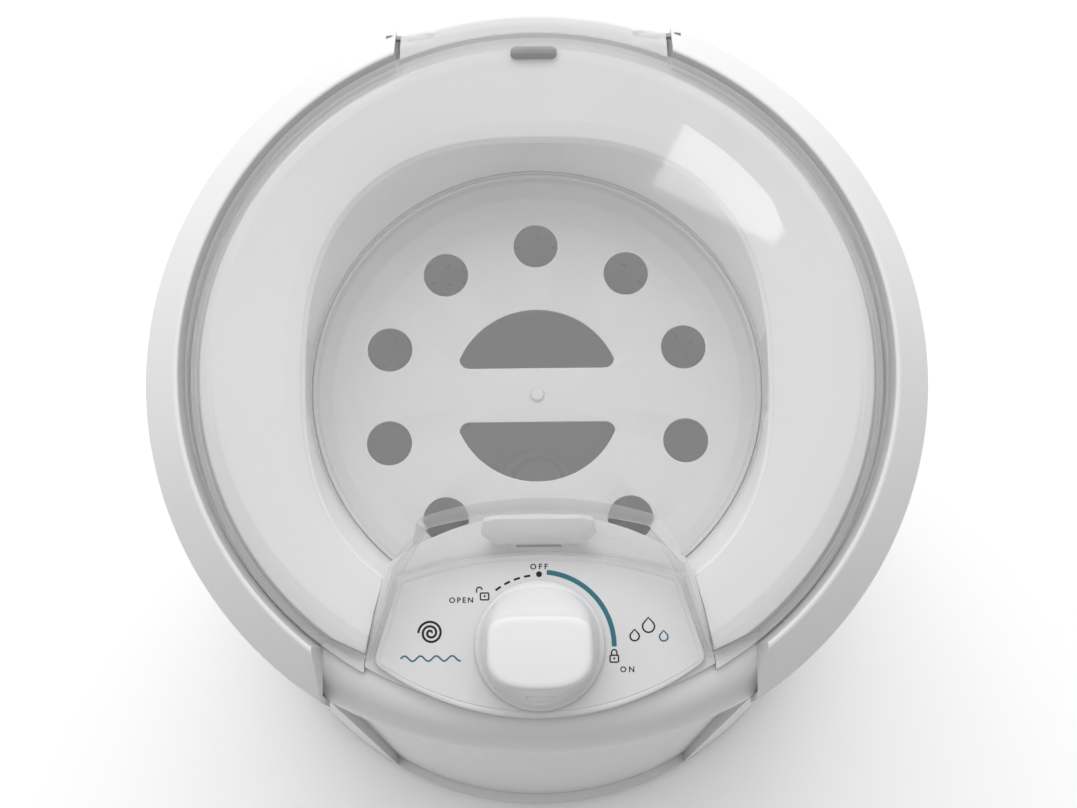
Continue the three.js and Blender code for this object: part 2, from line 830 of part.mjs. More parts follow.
// The hinge skirt repeats the ring's surface over the hinge pocket.
function hingeSkirt() {
  const skirt = lathe([
    [ringRadius - 0.5, level(-tabDrop)],
    ...ringSurface.slice(0, 4),
    [lidRadius - 1, level(lidRimRise)],
    [lidRadius - 1, level(lidRimRise) - lidWall],
    [crestRadius, level(crestRise) - lidWall],
    [ringRadius - 1.5 - lidWall, level(1)],
    [ringRadius - 0.5 - lidWall, level(-tabDrop)],
  ]);
  return common(skirt.rotateZ(halfFacet), rearBlock(tabHalfWidth, 0, 2 * reach));
}

function knuckle(side) {
  const ends = [side * knuckleStart, side * knuckleEnd];
  const barrel = alongX(disc(knuckleRadius, ...ends, smallSides), hingeY, level(hingeRise));
  const web = block(
    Math.min(...ends),
    Math.max(...ends),
    hingeY - knuckleRadius,
    hingeY + 2,
    level(hingeRise),
    level(crestRise) - 1,
  );
  const under = lathe([
    [0, level(0)],
    [ringRadius - 2, level(0)],
    [crestRadius + 2, level(crestRise - 2)],
    [0, level(crestRise - 1)],
  ]).rotateZ(halfFacet);
  return join(barrel, common(web, under));
}

function clearLid() {
  const low = lidBottom;
  const heights = [low - 20, low, level(notchBandRise), level(lidRise + 2)];
  const frontCut = (margin) =>
    loft(...heights.map((height) => [lidCutOutline(height, margin), height]));
  const outside = cut(lidDome(0, low), frontCut(0));
  const inside = cut(lidDome(lidWall, low - 10), frontCut(lidWall));
  const shell = cut(outside, inside);
  const bores = [-1, 1].map((side) => {
    const from = side * (knuckleStart + 4);
    const to = side * (tabHalfWidth + 1);
    return alongX(disc(hingePinRadius + gap, from, to, smallSides), hingeY, level(hingeRise));
  });
  return cut(join(shell, hingeSkirt(), knuckle(-1), knuckle(1)), ...bores);
}

// The six-sided latch plate lies on the rear of the notch wall, and its hook hangs from it.
function latchPlate() {
  const outline = [
    [-latchBottomWidth / 2, 0],
    [latchBottomWidth / 2, 0],
    [latchTopWidth / 2, latchHeight * 0.42],
    [latchTopWidth / 2 - 2, latchHeight * 0.9],
    [latchTopWidth / 2 - 8, latchHeight],
    [8 - latchTopWidth / 2, latchHeight],
    [2 - latchTopWidth / 2, latchHeight * 0.9],
    [-latchTopWidth / 2, latchHeight * 0.42],
  ];
  const plate = prism(outline, -hookThickness, 0)
    .rotateX(Math.PI / 2 - Math.atan(notchLean))
    .translate(0, latchFaceY, latchBottom);
  const hook = block(
    -hookWidth / 2,
    hookWidth / 2,
    hookNearY,
    hookFarY,
    hookBottom,
    latchBottom + 1,
  );
  const hole = block(
    -hookHoleWidth / 2,
    hookHoleWidth / 2,
    hookNearY - 1,
    hookFarY + 1,
    camBottom - 3,
    camBottom + camThickness + 3,
  );
  return cut(join(plate, hook), hole);
}

// ---- Knob and lid lock, from the top down -------------------------------------------------

const knobBottom = panelTop + gap;
const switchTop = deckBottom - gap;
const switchDepth = 20;
const camTop = switchTop - switchDepth - 1;
const camBottom = camTop - camThickness;
const hookBottom = camBottom - 6;
const boltNose = hookNearY - boltGap;
const boltTail = knobY + camRadius + camGap;
const boltRise = 0.5;

piece('lid', clearLid(), clearPlastic);
piece('lid_latch', latchPlate(), whitePlastic);

for (const [name, side] of [['hinge_pin_left', -1], ['hinge_pin_right', 1]]) {
  const from = side * (knuckleStart + 5);
  const to = side * (tabHalfWidth + tabGap + wall - gap);
  piece(name, alongX(disc(hingePinRadius, from, to, smallSides), hingeY, level(hingeRise)), steel);
}

function knob() {
  const flangeTop = knobBottom + knobFlange;
  const gripTop = knobBottom + knobRise;
  const flange = lathe([
    [0, knobBottom],
    [knobRadius, knobBottom],
    [knobRadius, knobBottom + knobFlange * 0.6],
    [knobRadius - 3, flangeTop],
    [0, flangeTop + 2],
  ], 2 * smallSides);
  const roundedBar = (length, width, corner, offset) => {
    const corners = [[1, 1, 0], [-1, 1, 1], [-1, -1, 2], [1, -1, 3]];
    return corners.flatMap(([sx, sy, quarter]) =>
      arc(
        sx * (length / 2 - corner),
        sy * (width / 2 - corner) - offset,
        corner,
        (quarter * Math.PI) / 2,
        ((quarter + 1) * Math.PI) / 2,
        4,
      ),
    );
  };
  const foot = 2 * knobRadius - 5;
  const gripFoot = knobBottom + knobFlange - 1;
  const grip = loft(
    [roundedBar(foot, foot, foot * 0.48, 0), gripFoot],
    [roundedBar(gripLength, gripWidth, gripWidth * 0.4, gripOffset), gripTop],
  );
  return join(flange, grip);
}

piece('knob', knob(), whitePlastic).position.set(0, knobY, 0);

const knobShaft = disc(knobShaftRadius, camBottom - 2, knobBottom - gap, smallSides);
piece('knob_shaft', knobShaft, steel).position.set(0, knobY, 0);

// The cam's radius grows evenly with the angle, so the bolt's travel follows the knob's turn.
function lockCam() {
  const from = radians(knobOpenAngle - camOverrun);
  const to = radians(knobOnAngle + camOverrun);
  const steps = 20;
  const start = Math.PI / 2 + to;
  const outline = arc(0, 0, camHubRadius, start, from + (5 * Math.PI) / 2, 10);
  for (let i = 0; i <= steps; i += 1) {
    const angle = from + ((to - from) * i) / steps;
    const radius = camRadius + camRise * angle;
    outline.push([-radius * Math.sin(angle), radius * Math.cos(angle)]);
  }
  const bore = disc(knobShaftRadius + gap, camBottom - 1, camTop + 1, smallSides);
  return cut(prism(outline, camBottom, camTop), bore);
}

piece('lock_cam', lockCam(), blackPlastic).position.set(0, knobY, 0);

function lockBolt() {
  const low = camBottom + boltRise;
  const high = camTop - boltRise;
  const shoulder = boltTail + 6;
  return prism(
    [
      [-1.5, boltTail],
      [1.5, boltTail],
      [boltWidth / 2, shoulder],
      [boltWidth / 2, boltNose - 2],
      [boltWidth / 2 - 2, boltNose],
      [2 - boltWidth / 2, boltNose],
      [-boltWidth / 2, boltNose - 2],
      [-boltWidth / 2, shoulder],
    ],
    low,
    high,
  );
}

piece('lock_bolt', lockBolt(), zinc);

const frameNearY = boltTail + 11;
const frameFarY = boltNose - 3;

function lockFrame() {
  return cut(
    block(-14, 14, frameNearY, frameFarY, camBottom - 4, deckBottom - gap),
    block(
      -boltWidth / 2 - gap,
      boltWidth / 2 + gap,
      frameNearY - 1,
      frameFarY + 1,
      camBottom + boltRise - gap,
      camTop - boltRise + gap,
    ),
  );
}

piece('lock_frame', lockFrame(), zinc);

const rotarySwitch = cut(
  block(-18, 18, knobY - 18, knobY + 18, switchTop - switchDepth, switchTop),
  disc(knobShaftRadius + gap, camBottom, deckTop, smallSides).translate(0, knobY, 0),
);
piece('rotary_switch', rotarySwitch, blackPlastic);

const doorSwitch = block(18, 38, hookFarY - 20, hookFarY - 10, switchTop - 16, switchTop);
piece('door_switch', doorSwitch, blackPlastic);

// ---- Basket and press disc --------------------------------------------------------------

const neckTop = level(-basketTopDrop);
const neckBottom = neckTop - neckDepth;
const neckBore = discRadius + 2 * gap;

function spinBasket() {
  const low = basketFloorHeight;
  const inner = basketRadius - basketWall;
  const body = lathe([
    [shaftRadius + 12, low + 8],
    [hubRadius + 10, low + 8],
    [hubRadius + 24, low],
    [basketRadius - 12, low],
    [basketRadius, low + 12],
    [basketRadius, neckBottom - gap],
    [inner, neckBottom - gap],
    [inner, low + 13],
    [basketRadius - 13, low + basketWall],
    [hubRadius + 25, low + basketWall],
    [hubRadius + 11, low + 8 + basketWall],
    [shaftRadius + 12, low + 8 + basketWall],
  ]);
  const holes = [];
  const pitch = (neckBottom - low - 2 * basketWallHoleMargin) / (drainRows - 1);
  for (let row = 0; row < drainRows; row += 1) {
    for (let i = 0; i < drainHolesPerRow; i += 1) {
      const angle = (2 * Math.PI * (i + (row % 2) / 2)) / drainHolesPerRow + halfFacet;
      const hole = disc(drainHoleRadius, 0, 20, 6);
      const height = low + basketWallHoleMargin + row * pitch;
      holes.push(outward(hole, turned(angle), basketRadius - 10, height));
    }
  }
  return cut(body, ...holes);
}

const neckRing = () => lathe([
  [neckBore, neckBottom],
  [basketRadius, neckBottom],
  [basketRadius, neckTop - 6],
  [basketRadius - 5, neckTop],
  [neckBore, neckTop],
]);

function fingerHole(side) {
  const start = fingerFrom + fingerCorner;
  const lower = arc(fingerHalfWidth - fingerCorner, start, fingerCorner, -Math.PI / 2, 0, 3);
  const top = bow(fingerHalfWidth, start, fingerTo, 8).slice(1, -1);
  const outline = [...lower, ...top, ...mirrored(lower)];
  const placed = side > 0 ? outline : outline.map(([x, y]) => [x, -y]).reverse();
  return prism(placed, level(-2 * discPlateDrop), level(0));
}

// The press disc is a middle with finger holes and a bar, a holed plate whose edge is dished
// up by a few millimetres, and a rim.
const discUnder = level(-discPlateDrop);
const discBreak = discRadius - 10;
const discInnerBreak = discBreak - 1.5;
const discEdge = discUnder + discDish;

function pressDisc() {
  const flat = discHoleCircle + discHoleRadius + 1;
  const inner = discGripRadius + gap;
  const body = lathe([
    [inner, discUnder],
    [flat, discUnder],
    [discBreak, discEdge],
    [discInnerBreak, discEdge + discWall],
    [flat, discUnder + discWall],
    [inner, discUnder + discWall],
  ]);
  const holes = [];
  for (let i = 0; i < discHoles; i += 1) {
    const place = turned((2 * Math.PI * i) / discHoles + Math.PI);
    const hole = disc(discHoleRadius, level(-2 * discPlateDrop), level(0), smallSides);
    holes.push(hole.translate(place.x * discHoleCircle, place.y * discHoleCircle, 0));
  }
  return cut(body, ...holes);
}

function discGrip() {
  const middle = disc(discGripRadius, discUnder, discUnder + discWall);
  return cut(middle, fingerHole(1), fingerHole(-1));
}

function discRim() {
  const rim = level(-discRimDrop);
  return lathe([
    [discBreak + gap, discEdge],
    [discRadius, rim - 7],
    [discRadius, rim],
    [discRadius - discWall, rim],
    [discRadius - discWall - 1, rim - 6],
    [discInnerBreak + gap, discEdge + discWall],
  ]);
}

piece('spin_basket', spinBasket(), basketPlastic);
piece('basket_neck_ring', neckRing(), basketPlastic);
piece('press_disc', pressDisc(), discPlastic);
piece('press_disc_grip', discGrip(), discPlastic);
piece('press_disc_rim', discRim(), discPlastic);

// ---- Drive ------------------------------------------------------------------------------

const plateTop = plateHeight + plateThickness;
const towerBottom = plateTop + gap;
const towerTop = towerBottom + towerHeight;
const bearingBore = bearingRadius + gap;
const shaftBore = shaftRadius + gap;
const hubTop = basketFloorHeight + 8 - gap;

piece('basket_hub', lathe([
  [shaftBore, towerTop + 2],
  [towerRadius, towerTop + 2],
  [towerRadius, hubTop - 5],
  [hubRadius, hubTop - 5],
  [hubRadius, hubTop],
  [shaftBore, hubTop],
], 2 * smallSides), castAluminium);

const shaftBottom = footHeight + baseFloor + 8;
const shaftTop = hubTop + 10;
piece('drive_shaft', disc(shaftRadius, shaftBottom, shaftTop, smallSides), steel);
const nutBore = disc(shaftBore, hubTop, shaftTop, smallSides);
piece('hub_nut', cut(disc(shaftRadius + 7, hubTop + gap, shaftTop - 1, 6), nutBore), zinc);

// A low cap keeps the laundry off the nut.
const capBottom = basketFloorHeight + 8 + basketWall + gap;
const capTop = shaftTop + 3;
piece('hub_cap', lathe([
  [0, capTop - basketWall],
  [capRadius - 11, capTop - basketWall - 0.8],
  [capRadius - 5, capTop - 6],
  [capRadius - 3, capBottom],
  [capRadius, capBottom],
  [capRadius - 2, capTop - 5],
  [capRadius - 9, capTop - 1],
  [0, capTop],
], 2 * smallSides), basketPlastic);

piece('bearing_housing', lathe([
  [bearingBore, towerBottom],
  [hubRadius, towerBottom],
  [hubRadius, towerBottom + 6],
  [towerRadius, towerBottom + 6],
  [towerRadius, towerTop],
  [bearingBore, towerTop],
  [bearingBore, towerTop - bearingWidth - 3],
  [bearingRadius - 3, towerTop - bearingWidth - 3],
  [bearingRadius - 3, towerBottom + bearingWidth + 3],
  [bearingBore, towerBottom + bearingWidth + 3],
], 2 * smallSides), castAluminium);

const bearing = (low) => sleeve(bearingRadius, shaftBore, low, low + bearingWidth, 2 * smallSides);
piece('lower_bearing', bearing(towerBottom + 3 - gap), steel);
piece('upper_bearing', bearing(towerTop - bearingWidth - 3 + gap), steel);

const springAngles = [60, 180, 300].map(radians);

function motorPlate() {
  const arms = springAngles.map((angle) =>
    block(-armWidth / 2, armWidth / 2, -armRadius, -hubRadius, plateHeight, plateTop).rotateZ(angle),
  );
  return cut(
    join(disc(plateRadius, plateHeight, plateTop, 2 * smallSides), ...arms),
    disc(bearingBore, plateHeight - 1, plateTop + 1, smallSides),
  );
}

piece('motor_plate', motorPlate(), zinc);

const mountBottom = footHeight + baseFloor + gap;
const springBottom = mountBottom + mountHeight + gap;
for (const [i, angle] of springAngles.entries()) {
  const place = turned(angle).multiplyScalar(springCircle);
  const mount = lathe([
    [0, mountBottom],
    [springRadius + mountMargin, mountBottom],
    [springRadius + mountMargin / 2, mountBottom + mountHeight],
    [0, mountBottom + mountHeight],
  ], smallSides);
  const inner = springRadius - springWire;
  const spring = sleeve(springRadius, inner, springBottom, plateHeight - gap);
  piece(`spring_mount_${i + 1}`, mount, rubber).position.set(place.x, place.y, 0);
  piece(`suspension_spring_${i + 1}`, spring, steel).position.set(place.x, place.y, 0);
}

const motorTop = plateHeight - gap;
const motorBottom = motorTop - motorLength;
const motorInner = motorRadius - motorWall;
piece('motor_housing', lathe([
  [shaftRadius + 4, motorBottom],
  [motorRadius, motorBottom],
  [motorRadius, motorTop],
  [shaftRadius + 18, motorTop],
  [shaftRadius + 18, motorTop - motorWall],
  [motorInner, motorTop - motorWall],
  [motorInner, motorBottom + motorWall],
  [shaftRadius + 4, motorBottom + motorWall],
], 2 * smallSides), castAluminium);

const coreLow = motorBottom + coreInset;
const coreHigh = motorTop - coreInset;
const core = (outer, inner) => sleeve(outer, inner, coreLow, coreHigh, 2 * smallSides);
piece('motor_stator', core(motorInner - gap, statorBore), darkSteel);
piece('motor_rotor', core(statorBore - airGap, shaftBore), darkSteel);

// ---- Brake ------------------------------------------------------------------------------

const brakeLow = shaftBottom + 2;
const brakeHigh = brakeLow + brakeWidth;
piece('brake_drum', sleeve(brakeRadius, shaftBore, brakeLow, brakeHigh, 2 * smallSides), darkSteel);

const padInner = brakeRadius + brakeGap;
const padThickness = 4;
const leverLow = brakeLow + 3;
const leverHigh = brakeHigh - 3;
const pivotRadius = 4;
const pivotX = padInner + padThickness + 12;
const pivotY = 24;
const leverTailY = -50;

function arcBand(inner, outer, halfAngle, low, high) {
  const near = arc(0, 0, inner, halfAngle, -halfAngle, 8);
  const far = arc(0, 0, outer, -halfAngle, halfAngle, 8);
  return prism([...near, ...far], low, high);
}

piece('brake_pad', arcBand(padInner, padInner + padThickness, 0.4, leverLow, leverHigh), brakeLining);

const leverInner = padInner + padThickness + gap;

function brakeLever() {
  const arm = prism(
    [
      [leverInner + 1, -8],
      [pivotX + 4, leverTailY],
      [pivotX + 12, leverTailY],
      [pivotX + 8, pivotY],
      [pivotX - 8, pivotY],
      [leverInner + 1, 8],
    ],
    leverLow,
    leverHigh,
  );
  const shoe = arcBand(leverInner, leverInner + 5, 0.4, leverLow, leverHigh);
  const eye = disc(pivotRadius + 5, leverLow, leverHigh, smallSides).translate(pivotX, pivotY, 0);
  const bore = disc(pivotRadius + gap, leverLow - 1, leverHigh + 1, smallSides);
  return cut(join(cut(arm, disc(leverInner, 0, reach)), shoe, eye), bore.translate(pivotX, pivotY, 0));
}

piece('brake_lever', brakeLever(), zinc);

const pivotPin = disc(pivotRadius, leverLow - 2, motorBottom - gap, smallSides);
piece('brake_pivot', pivotPin, steel).position.set(pivotX, pivotY, 0);

// The brake cable runs down between the tub and the front wall, and in to the lever's tail.
const cableX = -50;
const cableDrop = 24;
const cableBend = 14; // of its upper bend
const cableSweep = 50; // of its wide lower bend
const cableEndGap = 0.8; // the lever's tail swings past its end
const cableRadiusOut = (tubRadius + frontTopRadius - wall) / 2;
const cableY = -Math.sqrt(cableRadiusOut ** 2 - cableX ** 2);
const cableStartY = -Math.sqrt((housingFront + 2 * gap) ** 2 - cableX ** 2);

function brakeCable() {
  const top = level(-cableDrop);
  const leverZ = (leverLow + leverHigh) / 2;
  const path = new THREE.CatmullRomCurve3([
    new THREE.Vector3(cableX, cableStartY - 2, top),
    new THREE.Vector3(cableX, cableStartY - cableBend / 2, top),
    new THREE.Vector3(cableX, cableY, top - cableBend),
    new THREE.Vector3(cableX, cableY, top - 4 * cableBend),
    new THREE.Vector3(cableX, cableY, leverZ + 2.4 * cableSweep),
    new THREE.Vector3(cableX, cableY + 1, leverZ + 1.4 * cableSweep),
    new THREE.Vector3(cableX + 0.3 * cableSweep, cableY + 0.24 * cableSweep, leverZ + cableSweep / 2),
    new THREE.Vector3(cableX + cableSweep, cableY + cableSweep, leverZ + 2),
    new THREE.Vector3(pivotX + 4, leverTailY - 32, leverZ),
    new THREE.Vector3(pivotX + 8, leverTailY - 14, leverZ),
    new THREE.Vector3(pivotX + 8, leverTailY - cableEndGap, leverZ),
  ]);
  const section = new THREE.Shape(
    arc(0, 0, cableRadius, 0, 2 * Math.PI, 6).slice(0, 6).map(([x, y]) => new THREE.Vector2(x, y)),
  );
  return new THREE.ExtrudeGeometry(section, { steps: 36, bevelEnabled: false, extrudePath: path });
}

piece('brake_cable', brakeCable(), blackPlastic);

// ---- Tub and its drain ------------------------------------------------------------------

const tubFlangeTop = level(-tubFlangeDrop);
const tubFlangeRadius = screwCircle + screwRadius;
const outletPlace = outletDirection.clone().multiplyScalar(outletCircle);

function waterTub() {
  const shell = lathe([
    [tubHoleRadius, tubFloorHeight],
    [tubRadius, tubFloorHeight],
    [tubRadius, tubFlangeTop - wall],
    [tubFlangeRadius, tubFlangeTop - wall],
    [tubFlangeRadius, tubFlangeTop],
    [tubRadius - wall, tubFlangeTop],
    [tubRadius - wall, tubFloorHeight + wall],
    [tubHoleRadius, tubFloorHeight + wall],
  ]);
  const stub = disc(hoseRadius, tubFloorHeight - stubLength, tubFloorHeight + 1, smallSides);
  const bore = disc(hoseBore, tubFloorHeight - stubLength - 1, tubFloorHeight + 9, smallSides);
  const hingePocket = cut(
    rearBlock(tabHalfWidth + tabGap + wall + 2 * gap, tubFloorHeight, 2 * reach),
    disc(pocketInner - 2 * gap, 0, 3 * reach),
  );
  return cut(
    join(shell, stub.translate(outletPlace.x, outletPlace.y, 0)),
    bore.translate(outletPlace.x, outletPlace.y, 0),
    hingePocket,
    block(cableX - 6, cableX + 6, -reach, 0, level(-cableDrop - 8), level(0)),
    ...screwAngles.map((angle) => screwHole(angle)),
  );
}

piece('water_tub', waterTub(), tubPlastic);

const bootLow = tubFloorHeight + wall + gap;
piece('shaft_boot', lathe([
  [towerRadius + gap, bootLow],
  [tubHoleRadius + bootHeight, bootLow],
  [tubHoleRadius + bootHeight, bootLow + bootLip],
  [tubHoleRadius - bootLip, bootLow + bootLip],
  [towerRadius + bootLip, bootLow + bootHeight],
  [towerRadius + gap, bootLow + bootHeight],
], 2 * smallSides), rubber);

const spoutInner = wallRadiusAt(outletHeight) - spoutRoot;

function drainHose() {
  const top = tubFloorHeight - stubLength - gap;
  const at = (distance, height) =>
    new THREE.Vector3(outletDirection.x * distance, outletDirection.y * distance, height);
  const bend = 28;
  const line = new THREE.CurvePath();
  line.add(new THREE.LineCurve3(at(outletCircle, top), at(outletCircle, outletHeight + bend)));
  line.add(new THREE.QuadraticBezierCurve3(
    at(outletCircle, outletHeight + bend),
    at(outletCircle, outletHeight),
    at(outletCircle + bend, outletHeight),
  ));
  line.add(new THREE.LineCurve3(
    at(outletCircle + bend, outletHeight),
    at(spoutInner - gap, outletHeight),
  ));
  const ring = (radius) =>
    arc(0, 0, radius, 0, 2 * Math.PI, 10).slice(0, 10).map(([x, y]) => new THREE.Vector2(x, y));
  const section = new THREE.Shape(ring(hoseRadius));
  section.holes.push(new THREE.Path(ring(hoseBore).reverse()));
  return new THREE.ExtrudeGeometry(section, { steps: 12, bevelEnabled: false, extrudePath: line });
}

piece('drain_hose', drainHose(), rubber);

const spoutFace = wallRadiusAt(outletHeight - hoseRadius) + gap - spoutInner;
piece('drain_spout', outward(lathe([
  [hoseBore - 2, 0],
  [hoseRadius, 0],
  [hoseRadius, spoutFace],
  [hoseRadius + spoutFlange, spoutFace],
  [hoseRadius + spoutFlange, spoutFace + wall],
  [hoseRadius - 1, spoutFace + wall],
  [hoseRadius - 2, spoutFace + spoutLength],
  [hoseBore - 2, spoutFace + spoutLength],
], smallSides), outletDirection, spoutInner, outletHeight), blackPlastic);

const glandInner = wallRadiusAt(glandHeight) - wall - 4;
const glandOuter = wallRadiusAt(glandHeight - glandRadius) + gap - glandInner;
piece('cord_gland', outward(lathe([
  [4, 0],
  [glandRadius, 0],
  [glandRadius, glandOuter],
  [glandRadius + 4, glandOuter],
  [glandRadius + 3, glandOuter + 3],
  [4, glandOuter + 3],
], smallSides), glandDirection, glandInner, glandHeight), rubber);

const capacitorPlace = turned(radians(120)).multiplyScalar(springCircle);
const capacitor = lathe([
  [0, mountBottom],
  [capacitorRadius, mountBottom],
  [capacitorRadius, mountBottom + capacitorHeight - capacitorCrown],
  [capacitorRadius - capacitorCrown, mountBottom + capacitorHeight],
  [0, mountBottom + capacitorHeight],
], smallSides);
piece('run_capacitor', capacitor, blackPlastic).position.set(capacitorPlace.x, capacitorPlace.y, 0);

// The rear stop pad sits on the collar's rear slope, under the lid's edge.
const padBottom = level(collarCrestRise) + gap;
const padY = collarCrest - collarCrestWidth + 2;
const stopPad = block(-padHalfLength, padHalfLength, padY, padY + 5, padBottom, padBottom + 3);
piece('rear_stop_pad', stopPad, rubber);

export default dryer;
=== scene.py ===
import json
import math

import bmesh
import bpy
from mathutils import Matrix, Vector

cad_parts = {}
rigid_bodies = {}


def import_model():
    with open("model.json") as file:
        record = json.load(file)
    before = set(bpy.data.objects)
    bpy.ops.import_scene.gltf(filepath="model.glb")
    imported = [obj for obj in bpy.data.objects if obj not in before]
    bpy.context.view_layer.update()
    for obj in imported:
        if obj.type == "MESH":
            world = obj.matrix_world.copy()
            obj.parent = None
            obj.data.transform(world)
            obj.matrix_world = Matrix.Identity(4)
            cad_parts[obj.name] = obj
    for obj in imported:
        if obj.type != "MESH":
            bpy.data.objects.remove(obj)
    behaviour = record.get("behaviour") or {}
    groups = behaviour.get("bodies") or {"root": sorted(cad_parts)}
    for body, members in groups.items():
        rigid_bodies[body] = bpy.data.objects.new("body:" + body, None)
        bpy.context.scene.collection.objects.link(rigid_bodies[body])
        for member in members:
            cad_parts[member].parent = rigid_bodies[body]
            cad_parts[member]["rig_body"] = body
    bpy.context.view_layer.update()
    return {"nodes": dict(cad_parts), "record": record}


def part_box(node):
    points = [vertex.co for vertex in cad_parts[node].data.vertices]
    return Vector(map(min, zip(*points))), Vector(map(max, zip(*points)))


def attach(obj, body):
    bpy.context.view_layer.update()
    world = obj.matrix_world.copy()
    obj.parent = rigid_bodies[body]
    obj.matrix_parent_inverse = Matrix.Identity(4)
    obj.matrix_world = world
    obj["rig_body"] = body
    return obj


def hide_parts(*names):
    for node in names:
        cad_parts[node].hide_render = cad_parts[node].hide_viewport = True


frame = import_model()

MM = 0.001
WALL = 3.0
GAP = 0.3
EDGE = 565.0  # height of the top ring's outer edge

# Radii, from the outside in
RING, CREST, GROOVE, SHELF = 230.0, 210.0, 208.0, 190.0
LID, LID_STEP = 203.5, 186.0
RING_SKIN = RING - 1 - WALL  # the inside of the ring's skirt
CASING_TOP, CASING_BOTTOM, FRONT_TOP, FRONT_BOTTOM = 225.5, 233.5, 217.5, 227.0
BASE, BASKET, DISC = 234.5, 152.0, 137.2

# Heights
RING_BOTTOM = 520.0
DECK_BOTTOM, DECK_TOP, LID_BOTTOM = 564.3, 567.3, 567.8
PANEL_TOP, CASING_HIGH, CASING_LOW = 572.0, 534.0, 28.3
NECK_TOP, NECK_BOTTOM, DISC_UNDER, DISC_RIM = 517.0, 485.0, 496.0, 518.0
BAND = EDGE + 40  # where the notch's rear wall turns into a flatter band

# The front: panel, notch and bridge
PANEL_FRONT, PANEL_BACK, PANEL_CORNER, PANEL_WIDE = -204.0, -110.0, -123.5, -172.0
PANEL_WIDE_X, PANEL_CORNER_X = 95.0, 80.0
PANEL_LEAN = (PANEL_WIDE_X - PANEL_CORNER_X) / (PANEL_WIDE - PANEL_CORNER)
NOTCH_GAP, LID_CORNER = 1.5, -157.0
NOTCH_LEAN, NOTCH_NARROWING, BAND_LEAN = 0.44, 0.46, 1.2  # per mm of height
BRIDGE_HALF, BRIDGE_LIP, BRIDGE_CENTRE = 124.0, 257.0, 36.0
FRONT_HALF = 117.0
KNOB = (0.0, -163.0)

# The hinge at the back: its pins lie along X
HINGE_Y, HINGE_HEIGHT, PIN_BORE = 206.0, 570.5, 2.3
POCKET_HALF, SKIRT_HALF = 83.5, 80.0
KNUCKLE_START, KNUCKLE_END = 60.0, 76.0

# The lock housing under the panel, and the throat that the laundry goes through
HOUSING_BACK, HOUSING_RADIUS, HOUSING_OUTER, HOUSING_INNER = -86.0, 148.0, 200.0, 186.4
THROAT_X, THROAT_Y, THROAT_POWER, THROAT_MOUTH = 136.5, 142.0, 2.55, 137.9
PANEL_BORE = 4.3  # the hole for the knob's shaft

# How far cutting tools reach, and the facets round large pieces
FAR, TALL = 400.0, 800.0
FINE, MEDIUM = 288, 192


# ---- Shapes ----

ARC_STEP = math.radians(11)
SLIGHT_TURN = 0.3  # in radians


def rounded(corners, radius=0.0, closed=True, steps=0):
    """An outline with an arc at each corner; a corner's third value is its own radius.
    A corner that hardly turns belongs to a curve, and gets the widest arc that fits.
    With steps, each arc has as many points whatever its turn, so outlines can be lofted."""
    count = len(corners)
    result = []
    for i, corner in enumerate(corners):
        here = Vector(corner[:2])
        if not closed and i in (0, count - 1):
            result.append(tuple(here))
            continue
        before = Vector(corners[i - 1][:2]) - here
        after = Vector(corners[(i + 1) % count][:2]) - here
        turn = math.pi - before.angle(after, math.pi)
        wanted = corner[2] if len(corner) > 2 else radius
        room = 0.49 * min(before.length, after.length)
        if turn < SLIGHT_TURN and len(corner) < 3:
            reach = room
        else:
            reach = min(wanted * math.tan(turn / 2), room)
        if (turn < 1e-3 or reach < 1e-3) and not (steps and len(corner) > 2):
            result.append(tuple(here))
            continue
        start = here + before.normalized() * reach
        end = here + after.normalized() * reach
        count_here = steps or max(2, math.ceil(turn / ARC_STEP))
        for step in range(count_here + 1):
            t = step / count_here
            # A rational quadratic through the corner is a true arc.
            weight = math.cos(turn / 2)
            low, mid, high = (1 - t) ** 2, 2 * weight * t * (1 - t), t ** 2
            result.append(tuple((start * low + here * mid + end * high) / (low + mid + high)))
    return result


def arc(cx, cy, radius, start, end, steps):
    """Points round a centre, by the angle in degrees from +X."""
    turns = [math.radians(start + (end - start) * i / steps) for i in range(steps + 1)]
    return [(cx + radius * math.cos(a), cy + radius * math.sin(a)) for a in turns]


def bow(half, end_y, apex_y, steps):
    """The arc through (0, apex_y) and (+-half, end_y), from the right end to the left."""
    sag = apex_y - end_y
    radius = (half ** 2 + sag ** 2) / (2 * abs(sag))
    centre = apex_y - math.copysign(radius, sag)
    end = math.degrees(math.atan2(end_y - centre, half))
    other = 180 - end if sag > 0 else -180 - end
    return arc(0, centre, radius, end, other, steps)


def mirrored(points):
    return [(-p[0], *p[1:]) for p in reversed(points)]


def placed(name, data):
    """A new object in the scene, with a mesh or other data."""
    thing = bpy.data.objects.new(name, data)
    bpy.context.scene.collection.objects.link(thing)
    return thing


def mesh_piece(name, points, faces):
    """A new piece from points in millimetres, its faces turned outwards."""
    mesh = bpy.data.meshes.new(name)
    mesh.from_pydata([tuple(c * MM for c in point) for point in points], [], faces)
    shell = bmesh.new()
    shell.from_mesh(mesh)
    bmesh.ops.remove_doubles(shell, verts=shell.verts, dist=1e-7)
    bmesh.ops.recalc_face_normals(shell, faces=shell.faces)
    shell.to_mesh(mesh)
    shell.free()
    return placed(name, mesh)


